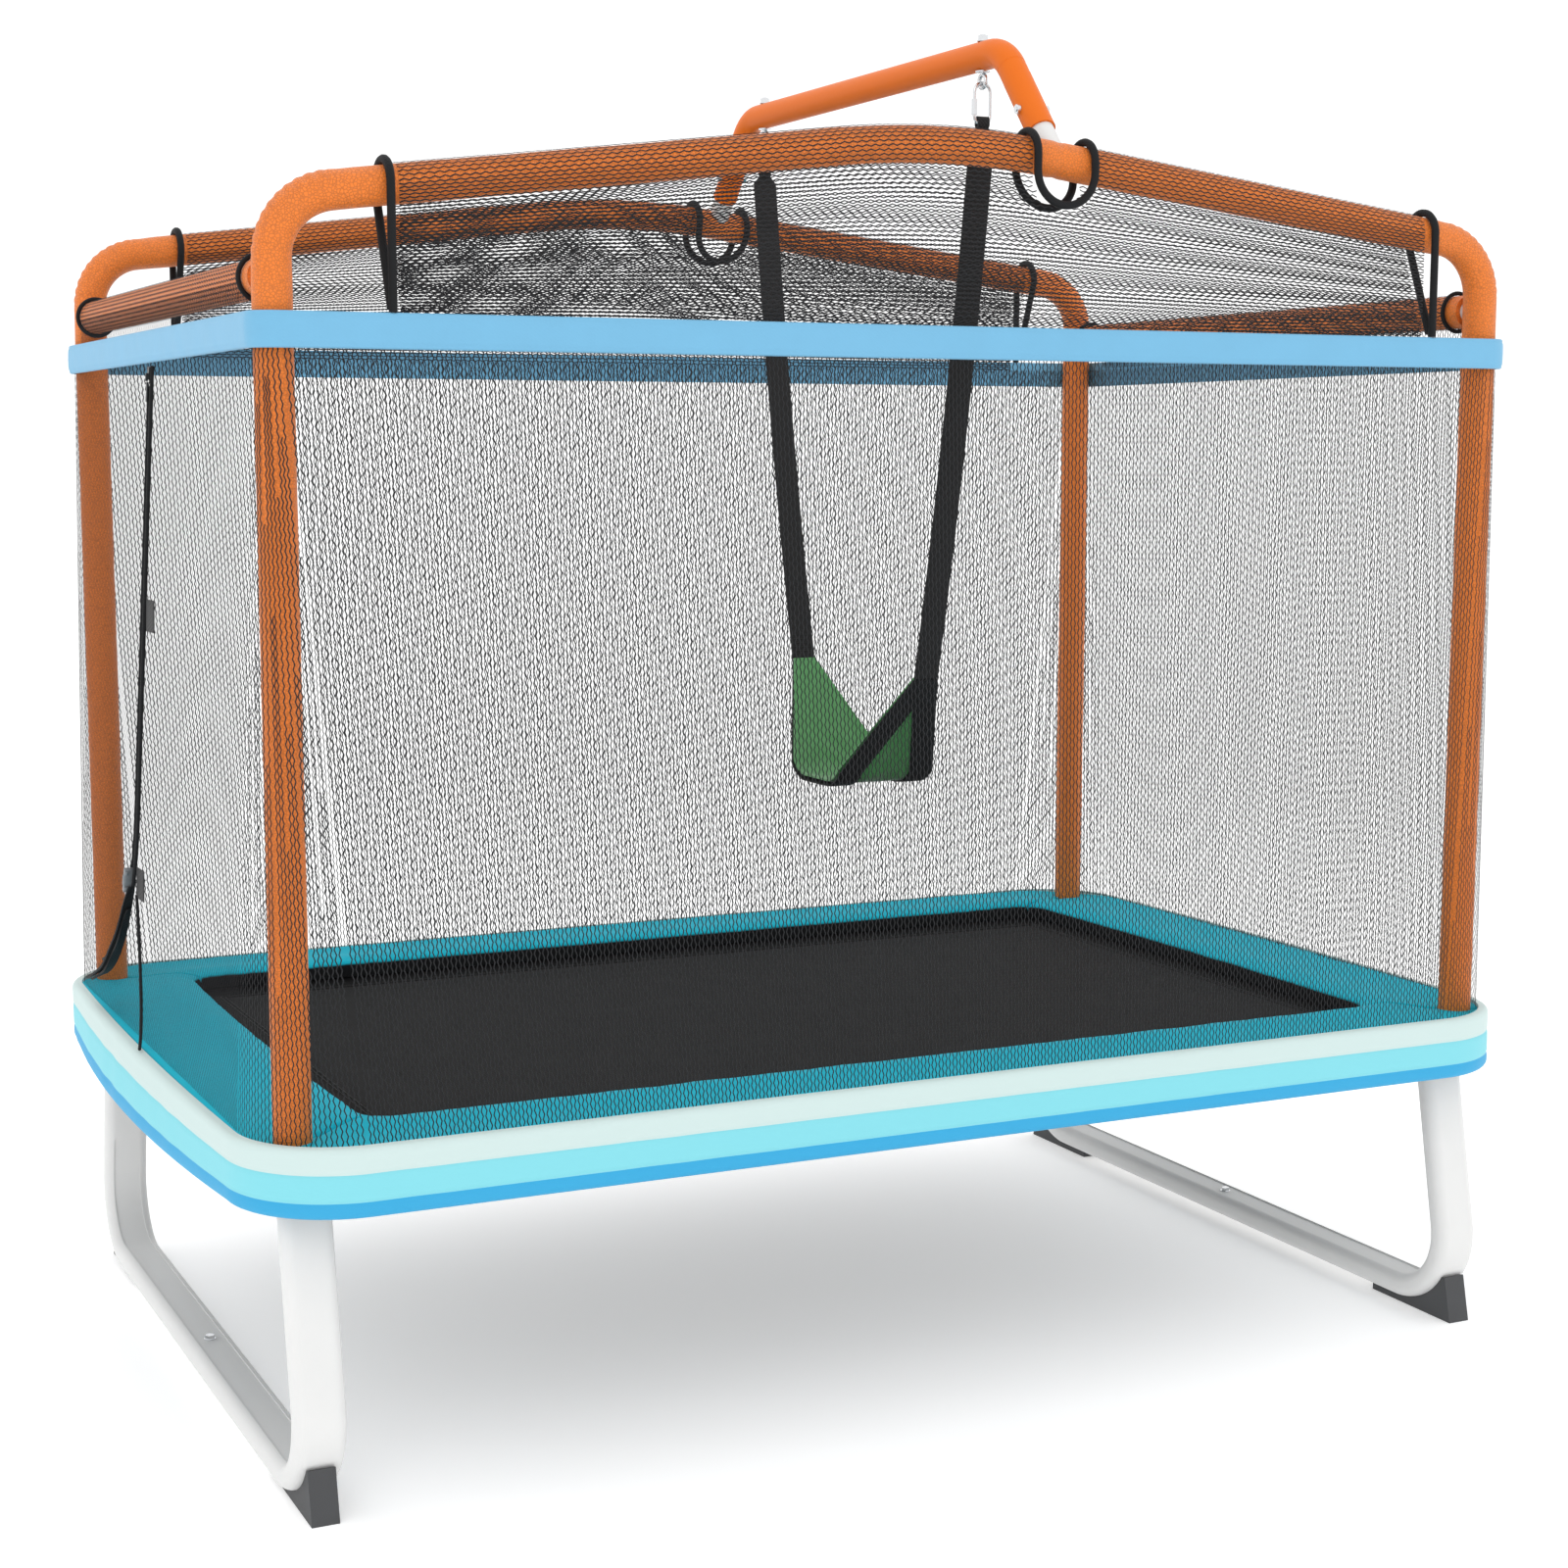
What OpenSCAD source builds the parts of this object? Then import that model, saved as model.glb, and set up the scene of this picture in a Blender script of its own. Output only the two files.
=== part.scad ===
// Rectangular children's trampoline, about 6 ft by 4 ft, with a padded safety enclosure
// and a sling swing hung from a bar over the top rails.
// Millimetres. X runs along the length, Y across, Z up; origin on the floor at the centre.

/* [Posts and top rails] */
// Half the distance between the posts along the length
post_x = 850; // [800:1:900]
// Half the distance between the posts across the width
post_y = 520; // [480:1:560]
// Outside diameter of the posts and the enclosure's rails
post_d = 32; // [30:1:34]
// Wall of the posts and rails
post_wall = 1.3; // [1:0.1:1.6]
// Outside diameter of the foam sleeves
foam_d = 46; // [42:1:50]
// Height where the posts end and the top rails' elbows begin
joint_z = 1376; // [1366:1:1384]
// Height of the lower end of the elbows' bend
bend_z = 1452; // [1440:1:1480]
// Bend radius of the elbows
elbow_r = 78; // [70:1:90]
// Slope of the top rails, in degrees
rail_slope = 7; // [5:0.5:9]
// Radius of the crown in the middle of the top rails
crown_r = 1230; // [1000:10:1240]
// Height of the short sides' cross rails
cross_z = 1434; // [1426:1:1438]
// Outside diameter of the cross rails
cross_d = 28; // [24:1:30]

/* [Base frame] */
// Outside diameter of the base frame's tubes
frame_d = 38; // [34:1:42]
// Wall of the base frame's tubes
frame_wall = 1.6; // [1.2:0.1:2]
// Height of the base frame's tubes
frame_z = 414; // [400:1:440]
// Bend radius of the base frame's corners
frame_bend_r = 90; // [80:1:100]
// Where on the corner's bend the post stands, in degrees
post_angle = 32; // [28:1:40]
// Length of the corner's straight ends
corner_end = 60; // [50:1:90]

/* [Legs] */
// How far the legs stand in from the posts, along the length
leg_inset = 15; // [8:1:30]
// Width of the legs' tube
leg_w = 64; // [56:1:70]
// Depth of the legs' tube
leg_d = 34; // [30:1:36]
// Wall of the legs' tube
leg_wall = 1.8; // [1.4:0.1:2.2]
// Splay of the legs, in degrees
leg_splay = 10.8; // [6:0.2:14]
// Bend radius of the legs
leg_bend_r = 93; // [80:1:105]
// Height of the floor bar's centre
leg_bar_z = 28; // [26:1:32]
// Half the distance between the centres of a leg's two bends
leg_bend_y = 458; // [440:1:470]
// Depth of the pressed channel on the legs' inner face
leg_channel = 2.5; // [1.5:0.1:3]
// Width of the feet
foot_w = 34; // [28:1:50]

/* [Mat and springs] */
// Gap that the springs bridge, from the mat's edge to the base frame's tubes
spring_gap = 62; // [56:1:68]
// How far the mat lies above the axis of the base frame's tubes
mat_rise = 12; // [0:0.5:12]
// Thickness of the mat
mat_t = 3; // [2:0.5:5]
// Springs along each long side
springs_long = 14; // [8:1:16]
// Springs along each short side
springs_short = 9; // [5:1:10]
// Outside diameter of the springs
spring_d = 12; // [10:1:14]

/* [Pads and skirt] */
// How far the pads lap over the mat's short edges
pad_lap_x = 40; // [25:1:50]
// How far the pads lap over the mat's long edges
pad_lap_y = 17; // [12:1:30]
// Thickness of the pads at their edges
pad_t = 23; // [16:1:26]
// Rise of the pads' crown
pad_crown = 4; // [2:0.5:6]
// How far the opening's short sides bow outwards
pad_bow = 12; // [4:1:16]
// Thickness of the skirt
skirt_t = 14; // [10:1:16]
// Room between the base frame and the skirt along the length
skirt_gap_x = 21.3; // [18:0.1:30]
// Room between the base frame and the skirt across the width
skirt_gap_y = 6.7; // [5:0.1:14]
// Corner radius of the skirt
skirt_r = 140; // [132:1:150]
// Height of the skirt's lower edge
skirt_z = 370; // [350:1:380]

/* [Enclosure net] */
// Thickness of the net
net_t = 1.2; // [1:0.1:1.6]
// Thickness of the blue band
band_t = 7; // [5:0.5:10]
// Height of the band's lower edge
band_z = 1354; // [1340:1:1360]
// Height of the band
band_h = 41; // [36:1:44]
// Where the net sleeves over the long rails begin, left of the middle
sleeve_left = 720; // [700:1:740]
// Where the net sleeves over the long rails end, right of the middle
sleeve_right = 745; // [700:1:750]
// Half the width of the sleeves' cut-out for the swing bar
notch_half = 47.5; // [44:0.5:56]
// Depth of that cut-out below the rail's axis
notch_depth = 64; // [60:1:80]
// Diameter of the black bindings
binding_d = 11; // [8:0.5:12]
// Width of the strands drawn between the net's gaps
strand = 12; // [8:1:16]

/* [Door and zip] */
// Height of the zip's upper end
zip_top = 1350; // [1345:1:1352]
// Where the zip begins across the width
zip_y = -17; // [-60:1:0]
// Lean of the zip's straight stretch, in degrees
zip_lean = 9; // [7:0.5:16]
// Length of the zip's straight stretch
zip_straight = 600; // [560:1:620]
// Radius of the zip's curved stretch
zip_r = 300; // [270:1:320]
// Turn of the zip's curved stretch, in degrees
zip_turn = 78; // [70:1:80]
// Width of each zip tape
tape_w = 9; // [6:0.5:12]
// Drop of the door's upper edge below the zip's upper end
door_drop = 24; // [22:1:36]

/* [Swing] */
// Where the swing bar crosses, right of the middle
swing_x = 160; // [156:1:200]
// Outside diameter of the swing bar
bar_d = 38; // [36:1:40]
// Lean of the swing bar's ends, in degrees from upright
bar_lean = 40.5; // [36:0.5:44]
// Height of the swing bar's level stretch
bar_z = 1758; // [1750:1:1790]
// Bend radius of the swing bar
bar_bend_r = 70; // [60:1:76]
// Distance of the eye bolts from the middle
eye_y = 336; // [310:1:340]
// Width of the swing's webbing
web_w = 38; // [30:1:40]
// Thickness of the swing's webbing
web_t = 2.4; // [2:0.2:3]
// Height where the straps meet the seat
seat_top = 920; // [900:1:940]
// Half the distance between the seat's upper ends
seat_end_y = 193; // [180:1:200]
// Height of the underside of the seat
seat_z = 755; // [740:1:770]
// Half the length of the seat's flat bottom, to the bends' corners
seat_half_y = 60; // [55:1:68]
// Half the width of the seat
seat_half_x = 77; // [66:1:84]
// Thickness of the seat's cloth
seat_t = 3; // [2:0.5:4]

/* [Hidden] */

$fn = 48;
// Running gap between a tube and what slides into it
fit = 0.3;
// Gap between a soft piece and its neighbour
soft = 0.3;
// Gap along a seam between pieces of one net
seam = 0.1;
// Longest reach of a cutting solid
far = 3000;
// Where a bent tube's straight piece enters its bend, and how much thinner it is drawn
lap = 0.5;
step = 0.2;
leg_step = 0.05;

// Base frame
frame_r = frame_d / 2;
frame_x = post_x + frame_bend_r * (1 - cos(post_angle));
frame_y = post_y + frame_bend_r * (1 - sin(post_angle));
bend_cx = frame_x - frame_bend_r;
bend_cy = frame_y - frame_bend_r;
frame_bore_r = frame_r - frame_wall;
spigot_len = 45;
// Posts and rails
post_r = post_d / 2;
post_bore_r = post_r - post_wall;
spigot_r = post_bore_r - fit;
spigot_wall = 1.6;
post_spigot = 80;
spigot_lap = 3;
foam_r = foam_d / 2;
foam_bore_r = post_r + soft;
post_bottom = frame_z + frame_r;
elbow_turn = 90 - rail_slope;
elbow_cx = post_x - elbow_r;
slope_x = elbow_cx + elbow_r * cos(elbow_turn);
slope_z = bend_z + elbow_r * sin(elbow_turn);
crown_x = crown_r * sin(rail_slope);
crown_z = slope_z + (slope_x - crown_x) * tan(rail_slope);
crown_cz = crown_z - crown_r * cos(rail_slope);
slope_len = (slope_x - crown_x) / cos(rail_slope);
cross_r = cross_d / 2;
cross_bore_r = cross_r - post_wall;
cross_spigot = 60;
cross_end = post_y - post_r - fit;
cross_foam_end = post_y - foam_r - soft;
// Legs
leg_x = post_x - leg_inset;
leg_r = 15;
leg_face_z = frame_z - frame_r - 4;
plate_t = 5;
plate_x = 80;
plate_y = 46;
socket_from = 150;
socket_len = 180;
leg_bend_z = leg_bar_z + leg_bend_r;
leg_seam = 25;
channel_w = 40;
leg_plain = 60;
joiner_len = 150;
leg_bolt_r = 4;
foot_top = 62;
foot_in = 400;
// Mat
mat_x = frame_x - frame_r - spring_gap;
mat_y = frame_y - frame_r - spring_gap;
mat_r = 20;
mat_z = frame_z + mat_rise;
ring_out = 12;
ring_t = 2.5;
hook_r = 1.5;
hook_in = 5;
hook_out = 9;
hook_reach = spring_gap + frame_r - sqrt(pow(frame_r, 2) - pow(max(mat_rise - hook_r, 0), 2));
// Pads and skirt
open_x = mat_x - pad_lap_x;
open_y = mat_y - pad_lap_y;
open_r = 35;
skirt_in_x = frame_x + frame_r + skirt_gap_x;
skirt_in_y = frame_y + frame_r + skirt_gap_y;
skirt_x = skirt_in_x + skirt_t;
skirt_y = skirt_in_y + skirt_t;
skirt_cx = skirt_x - skirt_r;
skirt_cy = skirt_y - skirt_r;
pad_z = post_bottom + soft;
pad_top = pad_z + pad_t;
skirt_top = pad_top + 2;
pad_out_x = skirt_in_x - soft;
pad_out_y = skirt_in_y - soft;
pad_edge_r = 8;
foam_z = pad_top + pad_crown + soft;
// Net: offsets from the posts' axes to the net's outer face
net_off = foam_r + soft + net_t;
net_foot_in = 3;
net_foot_x = skirt_in_x - net_foot_in;
net_foot_y = skirt_in_y - net_foot_in;
net_foot_r = skirt_r - skirt_t - net_foot_in;
net_z0 = pad_top + pad_crown * 0.2 + soft;
band_top = band_z + band_h;
net_h = band_top - net_z0;
tilt_x = atan((net_foot_x - post_x - net_off) / net_h);
tilt_y = atan((net_foot_y - post_y - net_off) / net_h);
panel_x_h = net_h / cos(tilt_x);
panel_y_h = net_h / cos(tilt_y);
band_off = net_off + (net_foot_y - post_y - net_off) * band_h / net_h + soft;
hem = 14;
cross_sleeve_r = foam_r + soft;
side_top = cross_z - sqrt(pow(cross_sleeve_r + net_t, 2) - pow(cross_sleeve_r, 2)) - 1;
// Bindings
binding_r = binding_d / 2;
wrap_r = foam_r + soft + binding_r;
cross_ring_r = 3;
cross_ring_y = cross_foam_end - 22;
sleeve_foot_y = post_y + net_off - net_t - soft;
wrap_n = 12;
sleeve_r = (foam_r / cos(rail_slope) + soft) / cos(100 / wrap_n);
// Zip, in the door side's plane: along Y, and up from the net's foot
zip_v0 = (zip_top - net_z0) / cos(tilt_x);
zip_dir = [sin(zip_lean), -cos(zip_lean)];
zip_end = [zip_y, zip_v0] + zip_straight * zip_dir;
zip_c = zip_end + zip_r * [cos(zip_lean), sin(zip_lean)];
door_top = zip_v0 - door_drop;
patch_w = 46;
patch_h = 42;
patch_drops = [322, 686];
hinge_x = post_x + net_off;
// Swing
tee_z = crown_z - (swing_x - crown_x) * tan(rail_slope);
tee_collar = 40;
tee_r = 19;
tee_bore_r = post_r + fit;
stub_r = 16;
stub_wall = 2;
sleeve_s0 = 52;
sleeve_s1 = 146;
bar_r = bar_d / 2;
bar_bore_r = stub_r + fit;
bolt_s = 90;
bar_corner_s = (bar_z - tee_z) / cos(bar_lean);
bar_turn = 90 - bar_lean;
bar_tangent = bar_bend_r * tan(bar_turn / 2);
bar_bend_y = post_y - bar_corner_s * sin(bar_lean) - bar_tangent;
stub_end = bar_corner_s - bar_tangent - 2;
eye_r = 8.5;
eye_wire = 3;
washer_t = 1.5;
eye_z = bar_z - bar_r - washer_t - eye_r - eye_wire;
hang_z = eye_z - eye_r;
link_r = 12;
link_wire = 2.5;
link_len = 53;
link_z1 = hang_z + eye_wire + link_wire + fit;
link_z0 = link_z1 - link_len;
strap_z1 = link_z0 - 15;
seat_fillet = 55;
web_off = seat_t / 2 + soft + web_t / 2;
side_dir = [seat_end_y - seat_half_y, seat_top - seat_z];
side_lean = atan2(side_dir[0], side_dir[1]);
side_len = norm(side_dir);
fillet_tan = seat_fillet * tan((90 - side_lean) / 2);

// ---------- functions ----------

function arc_pts(c, r, a0, a1, n) =
    [for (i = [0:n]) c + r * [cos(a0 + (a1 - a0) * i / n), sin(a0 + (a1 - a0) * i / n)]];

function round_rect(w, h, r, n = 8) = concat(
    arc_pts([w / 2 - r, h / 2 - r], r, 0, 90, n),
    arc_pts([-w / 2 + r, h / 2 - r], r, 90, 180, n),
    arc_pts([-w / 2 + r, -h / 2 + r], r, 180, 270, n),
    arc_pts([w / 2 - r, -h / 2 + r], r, 270, 360, n));

function reversed(v) = [for (i = [len(v) - 1:-1:0]) v[i]];

// Height of the top rail's axis at a distance x from the middle
function rail_z(x) = abs(x) < crown_x
    ? crown_cz + sqrt(crown_r * crown_r - x * x)
    : crown_z - (abs(x) - crown_x) * tan(rail_slope);

// Rise of the pads' crown across their width, t from 0 to 1
function crown(t) = pad_crown * sin(180 * t);

// A point on the zip, d along it, shifted by off to the door's side
function zip_pt(d, off = 0) = d <= zip_straight
    ? [zip_y, zip_v0] + d * zip_dir + off * [cos(zip_lean), sin(zip_lean)]
    : let (a = 180 + zip_lean + (d - zip_straight) / zip_r * 180 / PI)
        zip_c + (zip_r - off) * [cos(a), sin(a)];
zip_len = zip_straight + zip_r * zip_turn * PI / 180;
// Where a height in the panel's plane crosses the zip, or a line at off beside it
function zip_at(v, off = 0) = v >= zip_end[1]
    ? zip_y + (zip_v0 - v) * tan(zip_lean) + off / cos(zip_lean)
    : zip_c[0] - sqrt(max(0, pow(zip_r - off, 2) - pow(zip_c[1] - v, 2)));

// The seat's line in the YZ plane, s from -1 to 1, moved out by off
seat_run = side_len - fillet_tan;
seat_arc = seat_fillet * (90 - side_lean) * PI / 180;
seat_flat = seat_half_y - fillet_tan;
seat_half = seat_run + seat_arc + seat_flat;
seat_mid_z = seat_z + web_off + web_t / 2;
function seat_line(d, off) =
    d < seat_flat ? [d, seat_mid_z - off]
    : d < seat_flat + seat_arc
    ? let (a = -90 + (d - seat_flat) / seat_fillet * 180 / PI)
        [seat_flat, seat_mid_z + seat_fillet] + (seat_fillet + off) * [cos(a), sin(a)]
    : let (e = d - seat_flat - seat_arc, a = -side_lean)
        [seat_flat, seat_mid_z + seat_fillet] + (seat_fillet + off) * [cos(a), sin(a)]
        + e * [sin(side_lean), cos(side_lean)];
function seat_pt(s, off) =
    let (p = seat_line(abs(s) * seat_half, off)) [sign(s) * p[0], p[1]];
function seat_w(s) =
    let (e = abs(s) * seat_half - seat_flat - seat_arc)
    e <= 0 ? seat_half_x : seat_half_x + (web_w / 2 - seat_half_x) * e / seat_run;

// ---------- shared shapes ----------

module ring2d(r_out, r_in) {
    difference() {
        circle(r_out);
        circle(r_in);
    }
}

// A straight tube up the Z axis
module tube(r_out, r_in, h) {
    linear_extrude(h) ring2d(r_out, r_in);
}

// A bent rod in the XY plane round the origin, from angle a0 through angle turn
module bend_solid(r_out, r, a0, turn) {
    rotate([0, 0, a0])
        rotate_extrude(angle = turn)
            translate([r, 0])
                circle(r_out);
}

// The child once at each sign of X and Y
module at_corners() {
    for (sx = [0, 1], sy = [0, 1])
        mirror([sx, 0, 0])
            mirror([0, sy, 0])
                children();
}

module at_ends() {
    for (sy = [0, 1])
        mirror([0, sy, 0])
            children();
}

module at_sides() {
    for (sx = [0, 1])
        mirror([sx, 0, 0])
            children();
}

// A thin sheet lofted through stations, each a closed loop of points in space
module loft(stations) {
    n = len(stations[0]);
    m = len(stations);
    half = n / 2;
    sides = [for (i = [0:m - 2], j = [0:n - 1], h = [0, 1])
        let (a = i * n + j, b = i * n + (j + 1) % n)
        j < half ? (h == 0 ? [a, a + n, b] : [b, a + n, b + n])
                 : (h == 0 ? [a, a + n, b + n] : [a, b + n, b])];
    caps = [for (e = [0, 1], j = [0:half - 2], h = [0, 1])
        let (base = e * (m - 1) * n, a = base + j, b = base + j + 1,
             c = base + n - 2 - j, d = base + n - 1 - j,
             f = h == 0 ? [a, b, c] : [a, c, d])
        e == 0 ? f : [f[2], f[1], f[0]]];
    polyhedron([for (s = stations, p = s) p], concat(sides, caps));
}

// ---------- base frame ----------

module frame_rails() {
    color("#B9BDC2") {
        half_x = bend_cx - corner_end;
        half_y = bend_cy - corner_end;
        at_ends()
            translate([-half_x, frame_y, frame_z])
                rotate([0, 90, 0])
                    tube(frame_r, frame_bore_r, 2 * half_x);
        at_sides()
            translate([frame_x, half_y, frame_z])
                rotate([90, 0, 0])
                    tube(frame_r, frame_bore_r, 2 * half_y);
    }
}

// The inside of a corner: its bend and both straight ends, at radius r
module corner_core(r, extra) {
    translate([bend_cx, bend_cy, frame_z])
        bend_solid(r, frame_bend_r, 0, 90);
    translate([bend_cx - corner_end - extra, frame_y, frame_z])
        rotate([0, 90, 0])
            cylinder(r = r, h = corner_end + extra);
    translate([frame_x, bend_cy, frame_z])
        rotate([90, 0, 0])
            cylinder(r = r, h = corner_end + extra);
}

module corner_spigots(r, extra) {
    translate([bend_cx - corner_end - spigot_len - extra, frame_y, frame_z])
        rotate([0, 90, 0])
            cylinder(r = r, h = corner_end + spigot_len + extra);
    translate([frame_x, bend_cy, frame_z])
        rotate([90, 0, 0])
            cylinder(r = r, h = corner_end + spigot_len + extra);
}

// Local frame of a leg's upright, at the top of the leg
module at_leg_top() {
    translate([leg_x, leg_bend_y, leg_bend_z])
        rotate([leg_splay, 0, 0])
            translate([0, leg_bend_r, 0])
                children();
}

module leg_socket() {
    plug_w = leg_w - 2 * leg_wall - 2 * fit;
    plug_d = leg_d - 2 * leg_wall - leg_channel - 2 * fit;
    difference() {
        at_leg_top()
            translate([0, leg_channel / 2, socket_from])
                linear_extrude(socket_len)
                    difference() {
                        polygon(round_rect(plug_w, plug_d, leg_r - leg_wall - fit - 1));
                        polygon(round_rect(plug_w - 4, plug_d - 4, leg_r - leg_wall - fit - 3));
                    }
        translate([0, 0, leg_face_z + 1])
            linear_extrude(far)
                square(far);
    }
}

module frame_corners() {
    color("#B9BDC2")
        at_corners() {
            difference() {
                union() {
                    corner_core(frame_r, 0);
                    corner_spigots(frame_bore_r - fit, 0);
                    translate([post_x, post_y, frame_z])
                        cylinder(r = spigot_r, h = frame_r + post_spigot);
                    translate([leg_x - 34, leg_bend_y + 22, leg_face_z])
                        cube([plate_x, plate_y, plate_t]);
                }
                corner_core(frame_bore_r - 2, 1);
                corner_spigots(frame_bore_r - 2, 1);
                translate([post_x, post_y, frame_z])
                    cylinder(r = spigot_r - spigot_wall, h = far);
            }
            leg_socket();
        }
}

// ---------- legs ----------

// A leg's section, its wall thinned by t: X is the depth, away from the bend's centre
module leg_section(channel, t = 0) {
    difference() {
        polygon(round_rect(leg_d - 2 * t, leg_w - 2 * t, leg_r - t));
        translate([leg_channel / 2, 0])
            polygon(round_rect(leg_d - 2 * leg_wall - leg_channel + 2 * t,
                               leg_w - 2 * leg_wall + 2 * t,
                               leg_r - leg_wall - leg_channel / 2 + t));
        if (channel)
            translate([-leg_d / 2 - 1, -channel_w / 2 - t])
                square([leg_channel + 1 + t, channel_w + 2 * t]);
    }
}

// One half of a leg, with its floor bar running in to the given Y
module leg_half(bar_end) {
    upright = 320;
    translate([leg_x, leg_bend_y, leg_bend_z])
        rotate([90, 0, 90]) {
            rotate([0, 0, -90])
                rotate_extrude(angle = 90 + leg_splay)
                    translate([leg_bend_r, 0])
                        leg_section(true);
            rotate([0, 0, -90])
                translate([leg_bend_r, 0, 0])
                    rotate([90, 0, 0])
                        linear_extrude(leg_bend_y - bar_end)
                            leg_section(true);
        }
    difference() {
        at_leg_top()
            union() {
                translate([0, 0, -lap])
                    rotate([0, 0, 90])
                        linear_extrude(leg_plain + lap)
                            leg_section(true, leg_step);
                translate([0, 0, leg_plain])
                    rotate([0, 0, 90])
                        linear_extrude(upright - leg_plain)
                            leg_section(false, leg_step);
            }
        translate([0, 0, leg_face_z])
            linear_extrude(far)
                square(far);
    }
}

module bolt_hole(r) {
    translate([leg_x, 0, leg_bar_z])
        cylinder(r = r, h = far);
}

module leg_front(bolted_r) {
    color("#EDEDED")
        difference() {
            mirror([0, 1, 0])
                leg_half(-leg_seam);
            bolt_hole(bolted_r);
        }
}

module leg_back() {
    color("#EDEDED")
        leg_half(leg_seam);
}

module leg_left_front() { mirror([1, 0, 0]) leg_front(leg_bolt_r + fit); }
module leg_left_back() { mirror([1, 0, 0]) leg_back(); }
module leg_right_front() { leg_front(leg_bolt_r + fit); }
module leg_right_back() { leg_back(); }

module leg_joiners() {
    w = leg_w - 2 * leg_wall - 2 * fit;
    d = leg_d - 2 * leg_wall - leg_channel - 2 * fit;
    color("#C4C7CA")
        at_sides()
            difference() {
                translate([leg_x, leg_seam + joiner_len / 2, leg_bar_z - leg_channel / 2])
                    rotate([90, 0, 0])
                        linear_extrude(joiner_len)
                            difference() {
                                polygon(round_rect(w, d, leg_r - leg_wall - fit - 1));
                                polygon(round_rect(w - 4, d - 4, leg_r - leg_wall - fit - 3));
                            }
                bolt_hole(leg_bolt_r + fit);
            }
}

module leg_bolts() {
    head_z = leg_bar_z + leg_d / 2 - leg_channel;
    color("#D4D6D8")
        at_sides()
            translate([leg_x, 0, 0]) {
                translate([0, 0, leg_bar_z])
                    cylinder(r = leg_bolt_r, h = head_z - leg_bar_z);
                translate([0, 0, head_z])
                    cylinder(r = 8, h = 1.2);
                translate([0, 0, head_z])
                    cylinder(r = 6.5, h = 6, $fn = 6);
            }
}

module feet() {
    out_r = leg_bend_r + leg_d / 2 + fit;
    a1 = asin((foot_top - leg_bend_z) / out_r);
    arc = arc_pts([leg_bend_y, leg_bend_z], out_r, -90, a1, 12);
    tip = arc[12];
    color("#333436")
        at_corners()
            translate([leg_x - foot_w / 2, 0, 0])
                rotate([90, 0, 90])
                    linear_extrude(foot_w)
                        polygon(concat([[foot_in, leg_bend_z - out_r]], arc,
                            [tip + [7, 2], [leg_bend_y + out_r + 4, 0], [foot_in, 0]]));
}

// ---------- posts and rails ----------

module posts() {
    color("#E8E8E8")
        at_corners()
            translate([post_x, post_y, post_bottom])
                tube(post_r, post_bore_r, joint_z - post_bottom);
}

// Stands an XY drawing up in the XZ plane at the back posts
module at_back() {
    mirror([0, 1, 0])
        translate([0, -post_y, 0])
            rotate([90, 0, 0])
                children();
}

// A straight rod along Y, and a bend that starts out along Y and turns towards -X
module rod(r, h) {
    rotate([-90, 0, 0])
        cylinder(r = r, h = h);
}
module turn_rod(r, bend_r, turn, n = 48) {
    translate([-bend_r, 0, 0])
        rotate_extrude(angle = turn, $fn = n)
            translate([bend_r, 0])
                circle(r, $fn = 48);
}

// Local frame at the end of such a bend
module after_turn(bend_r, turn) {
    translate([-bend_r, 0, 0])
        rotate([0, 0, turn])
            translate([bend_r, 0, 0])
                children();
}

// Local frames along the right-hand top rail: where its elbow starts, where its slope
// starts, where the crown starts and where the crown ends
module at_elbow() { translate([post_x, bend_z]) children(); }
module at_slope() { at_elbow() after_turn(elbow_r, elbow_turn) children(); }
module at_crown() { at_slope() translate([0, slope_len, 0]) children(); }
module past_crown() { at_crown() after_turn(crown_r, 2 * rail_slope) children(); }

// Solids of radius r along the rail: its upright from z0, the elbow, and the slope
module rail_core(r, z0, slope_l) {
    at_elbow() {
        translate([0, z0 - bend_z, 0])
            rod(r, bend_z - z0);
        turn_rod(r, elbow_r, elbow_turn);
    }
    at_slope()
        translate([0, -lap, 0])
            rod(r - step, slope_l + lap);
}

// Solids of radius r along the crown, with a straight end of the given length
module crown_core(r, end_l) {
    at_crown()
        turn_rod(r, crown_r, 2 * rail_slope, 360);
    past_crown()
        translate([0, -lap, 0])
            rod(r - step, end_l + lap);
}

// Spigots of radius r: down into the post, and in towards the cross rail
module rail_spigots(post_spigot_r, cross_spigot_r, extra) {
    translate([post_x, post_y, joint_z - post_spigot - extra])
        cylinder(r = post_spigot_r, h = post_spigot + spigot_lap + 2 * extra);
    translate([post_x, post_y, cross_z])
        rotate([90, 0, 0])
            cylinder(r = cross_spigot_r, h = post_r + cross_spigot + extra);
}

module rail_right() {
    difference() {
        union() {
            at_back() {
                rail_core(post_r, joint_z, slope_len);
                at_crown()
                    turn_rod(post_r - step, crown_r, 2 * rail_slope, 360);
                past_crown()
                    translate([0, -lap, 0])
                        rod(spigot_r - step, post_spigot + lap);
            }
            rail_spigots(spigot_r, cross_bore_r - fit, 0);
        }
        at_back() {
            rail_core(post_bore_r, joint_z + spigot_lap, slope_len);
            crown_core(spigot_r - spigot_wall, post_spigot + 1);
        }
        rail_spigots(spigot_r - spigot_wall, cross_bore_r - fit - spigot_wall, 1);
    }
}

module rail_left() {
    difference() {
        union() {
            at_back()
                rail_core(post_r, joint_z, slope_len - fit);
            rail_spigots(spigot_r, cross_bore_r - fit, 0);
        }
        at_back()
            rail_core(post_bore_r, joint_z + spigot_lap, slope_len + 1);
        rail_spigots(spigot_r - spigot_wall, cross_bore_r - fit - spigot_wall, 1);
    }
}

module top_rails() {
    color("#E8E8E8")
        at_ends() {
            rail_right();
            mirror([1, 0, 0])
                rail_left();
        }
}

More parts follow.
